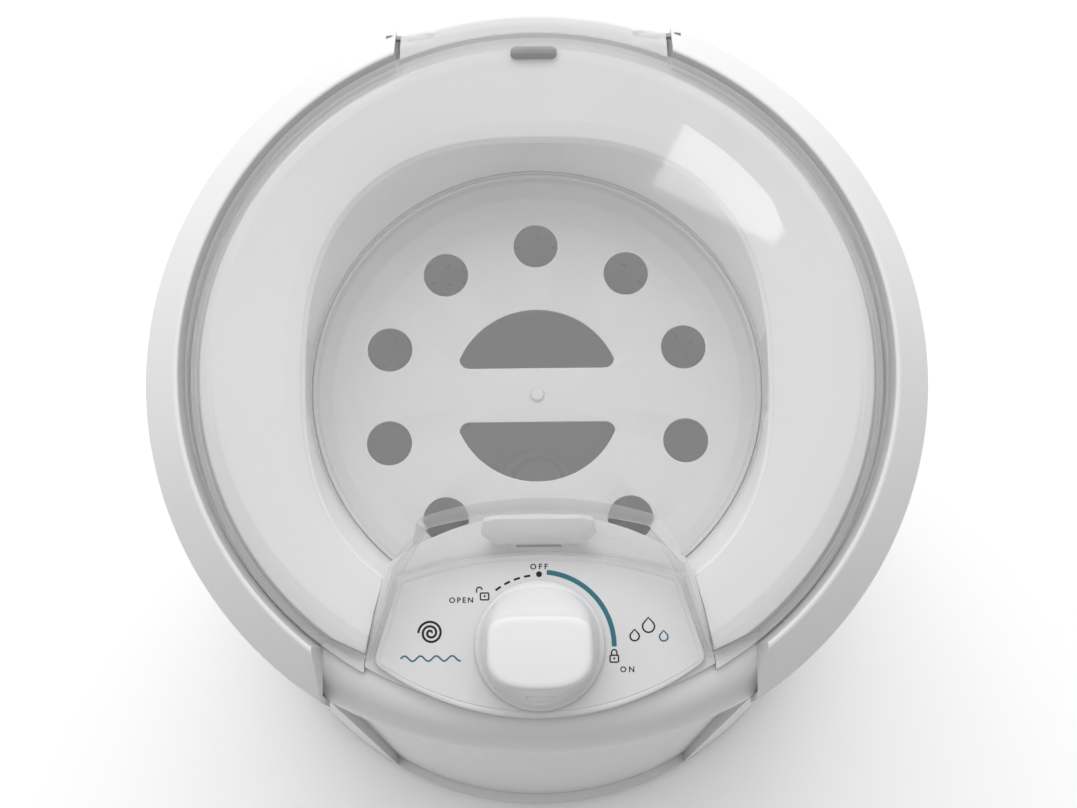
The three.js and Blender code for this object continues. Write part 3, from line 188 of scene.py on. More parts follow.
def changing_ring(name, section, steps):
    """A ring about Z with a closed [radius, height] section for each angle from -Y to +X."""
    loops = [section(2 * math.pi * i / steps) for i in range(steps)]
    size = len(loops[0])
    points = []
    for i, loop in enumerate(loops):
        turn = 2 * math.pi * i / steps
        points += [(r * math.sin(turn), -r * math.cos(turn), z) for r, z in loop]
    faces = []
    for i in range(steps):
        here, there = i * size, (i + 1) % steps * size
        for j in range(size):
            k = (j + 1) % size
            faces.append((here + j, there + j, there + k, here + k))
    return mesh_piece(name, points, faces)


def revolved(name, profile, steps=240, centre=(0.0, 0.0)):
    """A round piece from [radius, height] points, which close a loop or end on the axis."""
    if profile[0][0] > 0:
        piece = changing_ring(name, lambda _: profile, steps)
    else:
        rings = profile[1:-1]
        points = [(0, 0, profile[0][1])]
        for radius, height in rings:
            points += [(x, y, height) for x, y in arc(0, 0, radius, 0, 360, steps)[:-1]]
        points.append((0, 0, profile[-1][1]))
        faces = []
        for i in range(steps):
            k = (i + 1) % steps
            faces.append((0, 1 + k, 1 + i))
            for row in range(len(rings) - 1):
                a, b = 1 + row * steps, 1 + (row + 1) * steps
                faces.append((a + i, a + k, b + k, b + i))
            last = 1 + (len(rings) - 1) * steps
            faces.append((last + i, last + k, len(points) - 1))
        piece = mesh_piece(name, points, faces)
    piece.data.transform(Matrix.Translation((centre[0] * MM, centre[1] * MM, 0)))
    return piece


def lathed(name, profile, steps=240, centre=(0.0, 0.0)):
    """A round piece whose profile's corners may have radii."""
    return revolved(name, rounded(profile, closed=profile[0][0] > 0), steps, centre)


def lofted(name, *layers):
    """A solid through (outline, height) layers whose outlines have as many points each."""
    size = len(layers[0][0])
    points = [(x, y, z) for outline, z in layers for x, y in outline]
    top = size * (len(layers) - 1)
    faces = [tuple(reversed(range(size))), tuple(range(top, top + size))]
    for start in range(0, top, size):
        for i in range(size):
            k = (i + 1) % size
            faces.append((start + i, start + k, start + size + k, start + size + i))
    return mesh_piece(name, points, faces)


def prism(name, outline, low, high):
    return lofted(name, (outline, low), (outline, high))


def box_tool(x_low, x_high, y_low, y_high, low, high):
    outline = [(x_low, y_low), (x_high, y_low), (x_high, y_high), (x_low, y_high)]
    return prism("tool", outline, low, high)


def slab(half, side):
    """All within half a width of the middle, at the back (1) or the front (-1)."""
    return box_tool(-half, half, min(side * FAR, 0), max(side * FAR, 0), 0, TALL)


def disc_tool(radius, low, high, centre=(0.0, 0.0), steps=48):
    return revolved("tool", [(0, low), (radius, low), (radius, high), (0, high)], steps, centre)


def settle(piece):
    """Applies a piece's modifiers to its mesh."""
    graph = bpy.context.evaluated_depsgraph_get()
    mesh = bpy.data.meshes.new_from_object(piece.evaluated_get(graph))
    piece.modifiers.clear()
    piece.data = mesh
    return piece


def combine(piece, how, *tools):
    for tool in tools:
        cut = piece.modifiers.new("cut", "BOOLEAN")
        cut.operation = how
        cut.solver = "MANIFOLD"
        cut.object = tool
        settle(piece)
        bpy.data.objects.remove(tool)
    return piece


def carve(piece, *tools):
    return combine(piece, "DIFFERENCE", *tools)


def fuse(piece, *tools):
    return combine(piece, "UNION", *tools)


def within(piece, tool):
    return combine(piece, "INTERSECT", tool)


def joined(name, pieces):
    """One mesh from several that don't touch."""
    shell = bmesh.new()
    for piece in pieces:
        shell.from_mesh(piece.data)
        bpy.data.objects.remove(piece)
    mesh = bpy.data.meshes.new(name)
    shell.to_mesh(mesh)
    shell.free()
    return placed(name, mesh)


def turned(piece, degrees, axis="Z"):
    piece.data.transform(Matrix.Rotation(math.radians(degrees), 4, axis))
    return piece


def moved(piece, x, y, z):
    piece.data.transform(Matrix.Translation(Vector((x, y, z)) * MM))
    return piece


def merge_level_faces(piece):
    """Joins a flat face's triangles, so that it shades evenly."""
    shell = bmesh.new()
    shell.from_mesh(piece.data)
    bmesh.ops.dissolve_limit(shell, angle_limit=math.radians(0.1), verts=shell.verts,
                             edges=shell.edges)
    shell.to_mesh(piece.data)
    shell.free()
    return piece


SHARP = 32  # degrees between faces that meet in an edge


def soften(piece, width=0.5, angle=38, segments=2):
    """Small radii on a moulding's edges, and smooth shading between its sharp ones."""
    if width:
        bevel = piece.modifiers.new("radii", "BEVEL")
        bevel.width = width * MM
        bevel.segments = segments
        bevel.limit_method = "ANGLE"
        bevel.angle_limit = math.radians(angle)
        bevel.miter_outer = "MITER_ARC"
        settle(piece)
    piece.data.shade_smooth()
    piece.data.set_sharp_from_angle(angle=math.radians(SHARP))
    return piece


# ---- Materials ----

def paint(code):
    """A linear colour from an sRGB hex value."""
    parts = [int(code[i:i + 2], 16) / 255 for i in (0, 2, 4)]
    linear = [c / 12.92 if c <= 0.04045 else ((c + 0.055) / 1.055) ** 2.4 for c in parts]
    return (*linear, 1.0)


def add(tree, kind, inputs, **settings):
    """Adds a node: inputs are values or other nodes' sockets, settings are its properties."""
    node = tree.nodes.new("ShaderNode" + kind)
    for name, value in settings.items():
        setattr(node, name, value)
    for socket, value in inputs.items():
        if isinstance(value, bpy.types.NodeSocket):
            tree.links.new(value, node.inputs[socket])
        else:
            node.inputs[socket].default_value = value
    return node


def blank(name):
    """A new material, its node tree, and the place in the piece's own space."""
    material = bpy.data.materials.new(name)
    material.use_nodes = True
    tree = material.node_tree
    tree.nodes.clear()
    return material, tree, add(tree, "TexCoord", {}).outputs["Object"]


def relief(tree, place, grain, detail, depth, strength):
    """A noise by the size of its grains in millimetres, and the bumps that it makes."""
    noise = add(tree, "TexNoise", {"Vector": place, "Scale": 1 / (grain * MM), "Detail": detail})
    bump = add(tree, "Bump", {"Height": noise.outputs["Fac"], "Distance": depth * MM,
                              "Strength": strength})
    return noise.outputs["Fac"], bump.outputs[0]


def two_tones(tree, marks, light, dark, roughness, stray):
    """A colour between two tones and a roughness that strays, both by the same marks."""
    tone = add(tree, "Mix", {0: marks, 6: paint(dark), 7: paint(light)}, data_type="RGBA")
    gloss = add(tree, "MapRange", {"Value": marks, "To Min": roughness - stray,
                                   "To Max": roughness + stray})
    return tone.outputs[2], gloss.outputs[0]


def moulding(name, light, dark, roughness, grain, depth, specular=0.5, cloud=60.0):
    """A moulded surface: two near tones in slow clouds, a skin of grain, and a worn gloss.
    grain and cloud are the sizes of one grain and one cloud in millimetres."""
    material, tree, place = blank(name)
    clouds = add(tree, "TexNoise", {"Vector": place, "Scale": 1 / (cloud * MM), "Detail": 3.0})
    tone, gloss = two_tones(tree, clouds.outputs["Fac"], light, dark, roughness, 0.05)
    _, bump = relief(tree, place, grain, 2.0, depth, 0.6)
    shader = add(tree, "BsdfPrincipled", {"Base Color": tone, "Roughness": gloss, "Normal": bump,
                                          "Specular IOR Level": specular})
    add(tree, "OutputMaterial", {"Surface": shader.outputs[0]})
    return material


def worked_metal(name, light, dark, roughness, stretch, grain, depth):
    """A metal whose marks run along one direction: stretch scales the grain along X, Y, Z."""
    material, tree, place = blank(name)
    drawn = add(tree, "Mapping", {"Vector": place, "Scale": stretch})
    marks, bump = relief(tree, drawn.outputs[0], grain, 4.0, depth, 0.5)
    tone, gloss = two_tones(tree, marks, light, dark, roughness, 0.08)
    shader = add(tree, "BsdfPrincipled", {"Base Color": tone, "Metallic": 1.0,
                                          "Roughness": gloss, "Normal": bump})
    add(tree, "OutputMaterial", {"Surface": shader.outputs[0]})
    return material


def moulded_clear_san(name, milk):
    """Clear SAN from a polished mould: mostly see-through, milky by a share, with a hard gloss
    that mirrors the studio and whitens where the sheet is seen edge on."""
    flow_mark, wave = 45.0, 0.04  # the size and depth of the mould's flow marks
    whitest, facing_gloss, edge_gloss = 0.8, 0.035, 0.12
    material, tree, place = blank(name)
    _, bump = relief(tree, place, flow_mark, 1.0, wave, 0.1)
    body = add(tree, "BsdfPrincipled", {"Base Color": paint("f2f2f2"), "Roughness": 0.07,
                                        "IOR": 1.57, "Normal": bump})
    clear = add(tree, "BsdfTransparent", {"Color": paint("fcfcfc")})
    edge = add(tree, "LayerWeight", {"Blend": 0.35})
    edge_on = add(tree, "Math", {0: edge.outputs["Facing"], 1: 3.0}, operation="POWER")
    share = add(tree, "MapRange", {"Value": edge_on.outputs[0], "To Min": milk, "To Max": whitest})
    sheet = add(tree, "MixShader", {0: share.outputs[0], 1: clear.outputs[0], 2: body.outputs[0]})
    mirror = add(tree, "BsdfGlossy", {"Color": paint("ffffff"), "Roughness": 0.05, "Normal": bump})
    side = add(tree, "NewGeometry", {})
    gloss = add(tree, "MapRange", {"Value": edge.outputs["Facing"], "To Min": facing_gloss,
                                   "To Max": edge_gloss})
    # The sheet's inner face stays dull, so what lies under the lid isn't mirrored twice.
    shine = add(tree, "Mix", {0: side.outputs["Backfacing"], 2: gloss.outputs[0], 3: 0.0})
    surface = add(tree, "MixShader", {0: shine.outputs[0], 1: sheet.outputs[0],
                                      2: mirror.outputs[0]})
    add(tree, "OutputMaterial", {"Surface": surface.outputs[0]})
    return material


def thin_white_abs(name, light, lit_through):
    """A thin white moulding that the light from behind shines through, so it stays bright. A
    lighter colour passed in adds painted light.
    """
    grain, depth = 0.9, 0.01
    material, tree, place = blank(name)
    _, bump = relief(tree, place, grain, 2.0, depth, 0.6)
    face = add(tree, "BsdfPrincipled", {"Base Color": paint(light), "Roughness": 0.3,
                                        "Normal": bump})
    through = add(tree, "BsdfTranslucent", {"Color": paint(light), "Normal": bump})
    sheet = add(tree, "MixShader", {0: lit_through, 1: face.outputs[0], 2: through.outputs[0]})
    add(tree, "OutputMaterial", {"Surface": sheet.outputs[0]})
    return material


FINISH = {
    # White ABS from a finely etched mould: an even, cool off-white with a soft satin gloss.
    "white_plastic": moulding("satin_moulded_white_abs", "d5d5d6", "d0d0d1", 0.36, 0.7, 0.02),
    # The panel is silk-matt ABS, a shade greyer than the ring, which keeps its print legible.
    "panel_plastic": moulding("silk_matt_panel_abs", "cccbcc", "c8c7c9", 0.42, 0.5, 0.015),
    # The lid's clear SAN is a little milky all over.
    "clear_plastic": moulded_clear_san("injection_moulded_clear_san", 0.06),
    # The disc is matt polypropylene, which scatters light and dulls every edge.
    "disc_plastic": moulding("matt_moulded_polypropylene", "cccbcc", "c7c6c8", 0.5, 0.9, 0.03,
                             0.4),
    # The basket's is unpainted and lighter, so the holes over it stay mid grey.
    "basket_plastic": moulding("light_moulded_polypropylene", "fafafa", "f4f4f5", 0.5, 1.1,
                               0.03, 0.4),
    # The tub under it is the grey grade, duller and rougher, since nobody sees it.
    "tub_plastic": moulding("grey_moulded_polypropylene", "b8b9b9", "adaeae", 0.55, 1.2, 0.04,
                            0.4),
    # Black nylon has a low, even gloss, on the spout at the back and the switches inside.
    "black_plastic": moulding("moulded_black_nylon", "37383a", "2c2d2e", 0.5, 0.8, 0.03),
    # Pressed rubber is nearly black and takes hardly any highlight.
    "rubber": moulding("pressed_black_rubber", "2e2e2e", "232323", 0.8, 0.6, 0.05, 0.3),
    # Brake lining is pressed from fibres and resin, which leaves brown specks.
    "brake_lining": moulding("pressed_brake_lining", "5a4d43", "3c332c", 0.9, 1.0, 0.2, 0.2,
                             cloud=3.0),
    # Turned steel keeps fine rings from the lathe round the shafts and pins.
    "steel": worked_metal("turned_steel", "a8abad", "8f9294", 0.32, (1, 1, 20), 5, 0.02),
    # Zinc plate has broad pale crystals and a soft gloss.
    "zinc": worked_metal("zinc_plated_steel", "c2c5c6", "a5a8a9", 0.42, (1, 1, 1), 9, 0.03),
    # Sand casting leaves a pitted, dull skin on the aluminium.
    "cast_aluminium": worked_metal("sand_cast_aluminium", "b0b2b4", "97999b", 0.55, (1, 1, 1),
                                   1.6, 0.25),
    # The motor's sheets are stacked, so thin dark lines run round it.
    "dark_steel": worked_metal("stacked_dark_steel_sheet", "63666a", "4b4e52", 0.5,
                               (1, 1, 40), 20, 0.3),
}
# The knob's ABS comes from a polished mould, so it is whiter and shows sharper highlights.
knob_abs = moulding("polished_moulded_white_abs", "d4d4d5", "d0d0d1", 0.24, 1.4, 0.008, 0.55)
# The latch plate's colour is painted lighter than the other white mouldings, as painted light that
# keeps it reading through the clear wall in front of it.
latch_abs_painted_lighter = thin_white_abs("thin_moulded_white_abs_painted_lighter", "fdfdfd", 0.55)
# The throat's wall is polished for the laundry to slide on. Its colour is painted lighter than the
# deck's, as painted light that brightens the shaded wall.
throat_abs_painted_lighter = moulding("polished_throat_abs_painted_lighter", "f0f0f1", "ececed", 0.22, 1.4, 0.008, 0.55)
# The band round the notch is frosted in the mould, so it half hides what lies behind it.
frosted_san = moulded_clear_san("frosted_moulded_clear_san", 0.55)
# The skirt over the hinge is hazy, so the pocket under it shows faintly.
hazy_san = moulded_clear_san("hazy_moulded_clear_san", 0.3)
# Printed inks lie flat and matt on the panel.
black_ink = moulding("screen_printed_black_ink", "141517", "101113", 0.6, 0.3, 0.004, 0.3)
teal_ink = moulding("screen_printed_teal_ink", "2f6a75", "2a646f", 0.6, 0.3, 0.004, 0.3)

NODE_SLOT = {row["node"]: row["material_slot"] for row in frame["record"]["subparts"]}


def fit(piece, *nodes, finish=None):
    """Gives a piece its material, body and slot from the nodes that it stands for."""
    slot = NODE_SLOT[nodes[0]]
    piece.data.materials.clear()
    piece.data.materials.append(finish or FINISH[slot])
    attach(piece, frame["nodes"][nodes[0]]["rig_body"])
    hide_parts(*nodes)
    return piece


def finish_faces(piece, finish, chosen):
    """Gives a second finish to the faces that are chosen by their middle and their normal."""
    piece.data.materials.append(finish)
    index = len(piece.data.materials) - 1
    for face in piece.data.polygons:
        if chosen(*(face.center / MM), face.normal):
            face.material_index = index


for node, cad_object in frame["nodes"].items():
    cad_object.data.materials.clear()
    cad_object.data.materials.append(FINISH[NODE_SLOT[node]])


# ---- Plan outlines ----

def panel_outline(margin=0.0):
    def side(y):
        return PANEL_WIDE_X + margin + PANEL_LEAN * (y - PANEL_WIDE)

    corner, corner_radius = PANEL_CORNER + margin, max(7 + margin, 1)
    back = bow(side(corner), corner, PANEL_BACK + margin, 8)
    front = bow(side(PANEL_WIDE), PANEL_WIDE, PANEL_FRONT - margin, 10)[::-1]
    return rounded(back + front, corner_radius, steps=5)


def lid_cut_outline(height, margin):
    """The cut in the lid at one height: the notch round the panel and all in front of it.
    Its rear wall leans back and narrows as it rises, up to the band where it flattens."""
    wall = max(min(height, BAND) - LID_BOTTOM, 0)
    band = max(height - BAND, 0)

    def side(y):
        return PANEL_WIDE_X + NOTCH_GAP + margin + PANEL_LEAN * (y - PANEL_WIDE)

    corner = PANEL_CORNER + NOTCH_GAP + margin
    front = PANEL_WIDE + NOTCH_GAP + margin
    half = side(corner) - 2.5 - NOTCH_NARROWING * wall + BAND_LEAN * band
    apex = PANEL_BACK + NOTCH_GAP + margin + NOTCH_LEAN * wall + BAND_LEAN * band
    end = apex - (PANEL_BACK - PANEL_CORNER) * (half / side(corner)) ** 2
    back = bow(half, end, apex, 8)
    right = [(BRIDGE_HALF + margin, -FAR), (BRIDGE_HALF + margin, LID_CORNER + margin, 3.0),
             (side(front), front, 2.0), (side(corner), corner, 5.0)]
    ends = [(*back[0], 5.0), *back[1:-1], (*back[-1], 5.0)]
    return rounded([*right, *ends, *mirrored(right)], steps=6)


def housing_outline(margin=0.0):
    radius, centre = HOUSING_RADIUS + margin, HOUSING_BACK - HOUSING_RADIUS

    def side(y):
        return PANEL_WIDE_X + 6.5 + margin + PANEL_LEAN * (y - PANEL_WIDE)

    corner_y = PANEL_CORNER + 5.5
    corner_x = min(side(corner_y), math.sqrt(radius ** 2 - (corner_y - centre) ** 2))
    start = math.degrees(math.atan2(corner_y - centre, corner_x))
    back = arc(0, centre, radius, start, 180 - start, 16)
    right = [(side(PANEL_WIDE), -FAR), (side(PANEL_WIDE), PANEL_WIDE)]
    return rounded([*right, *back, *mirrored(right)], 3.0)


# ---- Cabinet ----

def slanted_front():
    """The space over the bridge, whose end walls lean out as they rise."""
    low, bend, high = RING_BOTTOM - 40, EDGE - 1, EDGE + 25
    top_half = BRIDGE_HALF + 5.5
    profile = [(-BRIDGE_HALF, low), (BRIDGE_HALF, low), (BRIDGE_HALF, bend), (top_half, high),
               (-top_half, high), (-BRIDGE_HALF, bend)]
    return turned(prism("tool", profile, 0, FAR), 90, "X")


def filling(low, inner):
    """What fills the hollow under the ring's crest, from a height up and a radius out."""
    outer = RING_SKIN + WALL / 2
    return revolved("tool", [(outer, low), (outer, EDGE), (GROOVE + WALL / 2, EDGE + 17),
                             (GROOVE + WALL / 2, EDGE - 2.5), (inner, EDGE - 2.5),
                             (inner, low)], MEDIUM)


def bridge_solid(inset, low):
    """The lowered front with its round lip, about its own centre."""
    top, lip = EDGE - 1 - inset, BRIDGE_LIP - inset
    across, fall, steps = 22 - inset, 25 - inset, 14
    profile = [(0, low), (lip, low)]
    for i in range(steps + 1):
        angle = math.pi / 2 * i / steps
        profile.append((lip - across * (1 - math.cos(angle)),
                        top - fall * (1 - math.sin(angle))))
    return revolved("tool", [*profile, (0, top)], 320, (0, BRIDGE_CENTRE))


def on_hinge(radius, side, near, far, steps):
    """A rod on the hinge's axis, on the right (1) or the left (-1)."""
    low, high = sorted((side * near, side * far))
    rod = turned(disc_tool(radius, low, high, steps=steps), 90, "Y")
    return moved(rod, 0, HINGE_Y, HINGE_HEIGHT)


def top_ring():
    outside = [(RING - 1, RING_BOTTOM, 1.0), (RING, EDGE + 2, 6.0), (CREST + 0.4, EDGE + 20, 4.0),
               (GROOVE, EDGE + 20, 1.4)]
    inside = [(LID + 1.1, EDGE + 2, 2.0), (LID + 1.1, EDGE - 1, 0.6), (SHELF, EDGE - 1, 0.8),
              (SHELF, EDGE - 4), (GROOVE + WALL, EDGE - 4), (GROOVE + WALL, EDGE + 15.5),
              (RING_SKIN, EDGE), (RING_SKIN, RING_BOTTOM)]
    ring = lathed("top_ring_moulding", outside + inside, FINE)
    # The ring is solid where the bridge's slanted ends cut through it.
    fuse(ring, within(filling(EDGE - 4, GROOVE + 1), slab(BRIDGE_HALF + 10, -1)))
    carve(ring, slanted_front())
    bridge = carve(bridge_solid(0, RING_BOTTOM), bridge_solid(WALL, RING_BOTTOM - WALL),
                   disc_tool(SHELF, 0, TALL, steps=FINE))
    within(bridge, slab(BRIDGE_HALF + 1, -1))
    pocket_floor, pocket_inner = EDGE - 27, 198
    pocket = filling(pocket_floor - WALL, pocket_inner - WALL)
    fuse(ring, bridge, within(pocket, slab(POCKET_HALF + WALL, 1)))
    # Over its rear wall the pocket is open to the back.
    rear_wall = EDGE - 10
    space = revolved("tool", [
        (pocket_inner, pocket_floor), (RING_SKIN, pocket_floor), (RING_SKIN, rear_wall),
        (RING + 3, rear_wall), (RING + 3, EDGE + 40), (LID + 0.7, EDGE + 40),
        (LID + 0.7, EDGE - 7), (pocket_inner, EDGE - 7)], MEDIUM)
    carve(ring, within(space, slab(POCKET_HALF, 1)))
    for side in (-1, 1):
        carve(ring, on_hinge(PIN_BORE, side, POCKET_HALF - 1, POCKET_HALF + 6, 24))
    return soften(ring, 0.45, 45)


def casing_solid(inset, over):
    """The round shell with its front set back, made smaller by an inset and longer by over."""
    slope = (CASING_BOTTOM - CASING_TOP) / (CASING_HIGH - CASING_LOW)

    def cone(top, bottom, extra):
        low, high = CASING_LOW - extra, CASING_HIGH + extra
        flare = slope * extra
        return revolved("tool", [(0, low), (bottom - inset + flare, low),
                                 (top - inset - flare, high), (0, high)], FINE)

    def across(half):
        side = half + inset
        return [(-side, -FAR), (side, -FAR), (side, 0), (-side, 0)]

    slot = lofted("tool", (across(FRONT_HALF), CASING_LOW - 2),
                  (across(BRIDGE_HALF + 1.6), CASING_HIGH + 2))
    carve(slot, cone(FRONT_TOP, FRONT_BOTTOM, over + 3))
    return carve(cone(CASING_TOP, CASING_BOTTOM, over), slot)


def aimed(piece, direction, distance, height):
    """Lays a piece that was made about Z along a level direction, a distance further out."""
    turned(piece, 90, "Y")
    turned(piece, direction)
    angle = math.radians(direction)
    return moved(piece, distance * math.cos(angle), distance * math.sin(angle), height)


# Where the drain spout and the cord gland start: degrees from +X, distances, heights
SPOUT_TURN, SPOUT_REACH, SPOUT_HEIGHT = 135, 219.96, 62
GLAND_TURN, GLAND_REACH, GLAND_HEIGHT = 56, 225.84, 70


def outer_casing():
    casing = casing_solid(0, 0)
    casing.name = "outer_casing_shell"
    carve(casing, casing_solid(WALL, 1))
    for radius, turn, height in ((15, SPOUT_TURN, SPOUT_HEIGHT), (9, GLAND_TURN, GLAND_HEIGHT)):
        hole = disc_tool(radius + GAP, -30, 30, steps=32)
        carve(casing, aimed(hole, turn, CASING_BOTTOM, height))
    return soften(merge_level_faces(casing), 0.8, 30, 3)


def base_tray():
    lip, under, seam = FRONT_BOTTOM - WALL - 0.6, 10, CASING_LOW - GAP
    profile = [(0, under), (BASE - 2, under, 2.0), (BASE, under + 2, 1.0), (BASE, seam, 1.2),
               (lip, seam, 0.5), (lip, seam + 12, 0.8), (lip - 3, seam + 12, 0.8),
               (lip - 3, under + 4, 2.0), (0, under + 4)]
    tray = lathed("base_tray_moulding", profile, FINE)
    # Short ribs under the casing's seam stiffen the flange.
    ribs, count = [], 90
    for i in range(count):
        rib = box_tool(-0.5, 0.5, -BASE - 0.1, -BASE + 1.5, seam - 8, seam - 0.4)
        ribs.append(turned(rib, 360 / count * i))
    fuse(tray, joined("tool", ribs))
    return soften(tray, 0)


fit(top_ring(), "top_ring")
fit(outer_casing(), "outer_casing")
fit(base_tray(), "base_tray")

FOOT_REACH, FOOT_HEIGHT = 190, 9.7
for i in range(4):
    angle = math.radians(45 + 90 * i)
    place = (FOOT_REACH * math.sin(angle), -FOOT_REACH * math.cos(angle))
    foot_profile = [(0, 0), (6, 0, 0.5), (7, 1.2, 0.5), (9, 0, 0.5), (16, 0, 1.5),
                    (18, FOOT_HEIGHT, 1.0), (0, FOOT_HEIGHT)]
    foot = lathed(f"rubber_foot_{i + 1}", foot_profile, 64, place)
    fit(soften(foot, 0), f"foot_{i + 1}")


# ---- Collar, lock housing and panel ----

def throat(angle):
    """The squarish throat's radius at an angle from -Y."""
    x, y = abs(math.sin(angle)) / THROAT_X, abs(math.cos(angle)) / THROAT_Y
    return (x ** THROAT_POWER + y ** THROAT_POWER) ** (-1 / THROAT_POWER)


def collar_section(angle):
    """The collar's wall from its flange over the sloping deck down to the throat's mouth."""
    edge, mouth = throat(angle), THROAT_MOUTH
    middle = (edge + mouth) / 2
    return rounded([
        (LID, DECK_BOTTOM), (LID, DECK_TOP, 0.6), (199, DECK_TOP, 0.8), (197, EDGE + 10, 1.5),
        (190, EDGE + 9.5, 4.0), (edge + 12, EDGE + 2.5, 8.0), (edge + 2.2, EDGE - 0.2, 3.0),
        (edge, EDGE - 4, 2.0), (middle, EDGE - 24.5, 10.0), (mouth, EDGE - 45, 1.0),
        (mouth + 3, EDGE - 45, 1.0), (middle + 3, EDGE - 24.5, 10.0), (edge + 4.5, EDGE - 7, 2.0),
        (edge + 13, EDGE - 0.5, 6.0), (189, EDGE + 6.5, 2.0), (193, DECK_BOTTOM)], steps=4)


def collar_funnel():
    collar = changing_ring("collar_funnel_moulding", collar_section, FINE)
    carve(collar, prism("tool", housing_outline(GAP), EDGE - 90, EDGE + 40))
    carve(collar, prism("tool", lid_cut_outline(LID_BOTTOM, 3.6), DECK_TOP, EDGE + 48))
    return soften(collar, 0.35, 45)


def lock_housing():
    low = EDGE - 40
    plate = within(prism("lock_housing_moulding", housing_outline(), DECK_BOTTOM, DECK_TOP),
                   disc_tool(HOUSING_OUTER, 0, TALL, steps=FINE))
    body = within(prism("tool", housing_outline(), low, DECK_TOP - 0.5),
                  disc_tool(HOUSING_INNER, 0, TALL, steps=FINE))
    hollow = within(prism("tool", housing_outline(-WALL), low - 1, DECK_BOTTOM),
                    disc_tool(HOUSING_INNER - WALL, 0, TALL, steps=FINE))
    fuse(plate, carve(body, hollow))
    # The hook of the latch goes through a slot behind the panel.
    slot_half, slot_front, slot_back = 17.5, -105.45, -93.45
    carve(plate, box_tool(-slot_half, slot_half, slot_front, slot_back, low - 1, DECK_TOP + 1))
    carve(plate, disc_tool(PANEL_BORE, low, DECK_TOP + 1, KNOB))
    return soften(plate, 0.6, 40)


def control_panel():
    # A rounded bead and a fine groove, as (inset, drop), run round the flat, printed face.
    edge = ((0, 1.2), (0.4, 0.6), (1.2, 0.25), (2.6, 0.2), (3, 0.4), (3.5, 0.4), (3.9, 0.1),
            (6, 0))
    layers = [(panel_outline(-inset), PANEL_TOP - drop) for inset, drop in edge]
    panel = lofted("control_panel_plate", (panel_outline(), DECK_BOTTOM), *layers)
    # Its underside clears the housing's plate, and the knob's shaft goes through it.
    low = DECK_BOTTOM - 10
    carve(panel, disc_tool(HOUSING_OUTER + GAP, low, DECK_TOP + GAP, steps=FINE))
    carve(panel, disc_tool(PANEL_BORE, low, PANEL_TOP + 1, KNOB))
    return soften(panel, 0)


collar = fit(collar_funnel(), "collar_funnel")
# The throat's wall faces the middle and leans up a little. These faces take the lighter colour,
# which is painted light.
finish_faces(collar, throat_abs_painted_lighter, lambda x, y, z, normal: (
    EDGE - 44 < z < EDGE - 1 and 0 < normal.z < 0.7 and x * normal.x + y * normal.y < 0))
fit(lock_housing(), "lock_housing")
fit(control_panel(), "control_panel")


# ---- Marks printed on the panel ----

INK = 0.08  # thickness of the printed marks


def stroke(path, width, closed=False):
    """A printed line along a path of [x, y] points."""
    count = len(path)
    left, right = [], []
    for i in range(count):
        before = path[i - 1] if closed or i else path[i]
        after = path[(i + 1) % count] if closed or i < count - 1 else path[i]
        along = (Vector(after) - Vector(before)).normalized()
        across = Vector((-along.y, along.x)) * width / 2
        left.append(Vector(path[i]) + across)
        right.append(Vector(path[i]) - across)
    points = []
    for height in (PANEL_TOP - INK, PANEL_TOP + INK):
        points += [(p.x, p.y, height) for p in left + right]
    faces, lift = [], 2 * count
    for i in range(count if closed else count - 1):
        k = (i + 1) % count
        a, b, c, d = i, k, count + k, count + i
        faces += [(a, b, c, d), (d + lift, c + lift, b + lift, a + lift),
                  (a, a + lift, b + lift, b), (c, c + lift, d + lift, d)]
    if not closed:
        faces += [(0, count, count + lift, lift),
                  (count - 1, count - 1 + lift, 2 * count - 1 + lift, 2 * count - 1)]
    return mesh_piece("mark", points, faces)


def spot(x, y, radius):
    return disc_tool(radius, PANEL_TOP - INK, PANEL_TOP + INK, (x, y), 32)


def word(text, x, y, height, spacing):
    """A generic word in plain capitals, centred on a point."""
    letters = bpy.data.curves.new(text, "FONT")
    letters.body = text
    letters.size = height * 1.4 * MM
    letters.space_character = spacing
    letters.align_x = letters.align_y = "CENTER"
    letters.extrude = INK * MM
    letters.offset = 0.09 * MM
    letters.resolution_u = 4
    written = placed(text, letters)
    graph = bpy.context.evaluated_depsgraph_get()
    graph.update()
    mesh = bpy.data.meshes.new_from_object(written.evaluated_get(graph))
    bpy.data.objects.remove(written)
    return moved(placed(text, mesh), x, y, PANEL_TOP)


def padlock(x, y, lift=0.0):
    """A padlock about 5 mm wide. An open one has its shackle to the left, with one end up."""
    half, low, top, reach = 2.4, y - 3, y + 0.9, 1.5
    body = rounded([(x - half, low), (x + half, low), (x + half, top), (x - half, top)], 0.6)
    shackle = [(x - reach, top), *arc(x, y + 2.6, reach, 180, 0, 10), (x + reach, top + lift)]
    if lift:
        shackle = [(p[0] - 2 * reach, p[1] + 0.2) for p in shackle]
    return [stroke(body, 0.8, closed=True), stroke(shackle, 0.8), spot(x, y - 0.9, 0.6)]


def around_knob(radius, clockwise):
    """A point on a circle round the knob, by the degrees clockwise from the back."""
    angle = math.radians(90 - clockwise)
    return (KNOB[0] + radius * math.cos(angle), KNOB[1] + radius * math.sin(angle))


def drop(x, y, size):
    """The outline of a water drop."""
    outline = [(x, y + 1.5 * size), *arc(x, y, size, 30, -210, 20)]
    return stroke(outline, 0.9, closed=True)


def printed(name, marks, ink):
    """Joins marks of one ink. They stand for no solid and stay on the panel."""
    piece = joined(name, marks)
    piece.data.materials.append(ink)
    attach(piece, "cabinet")


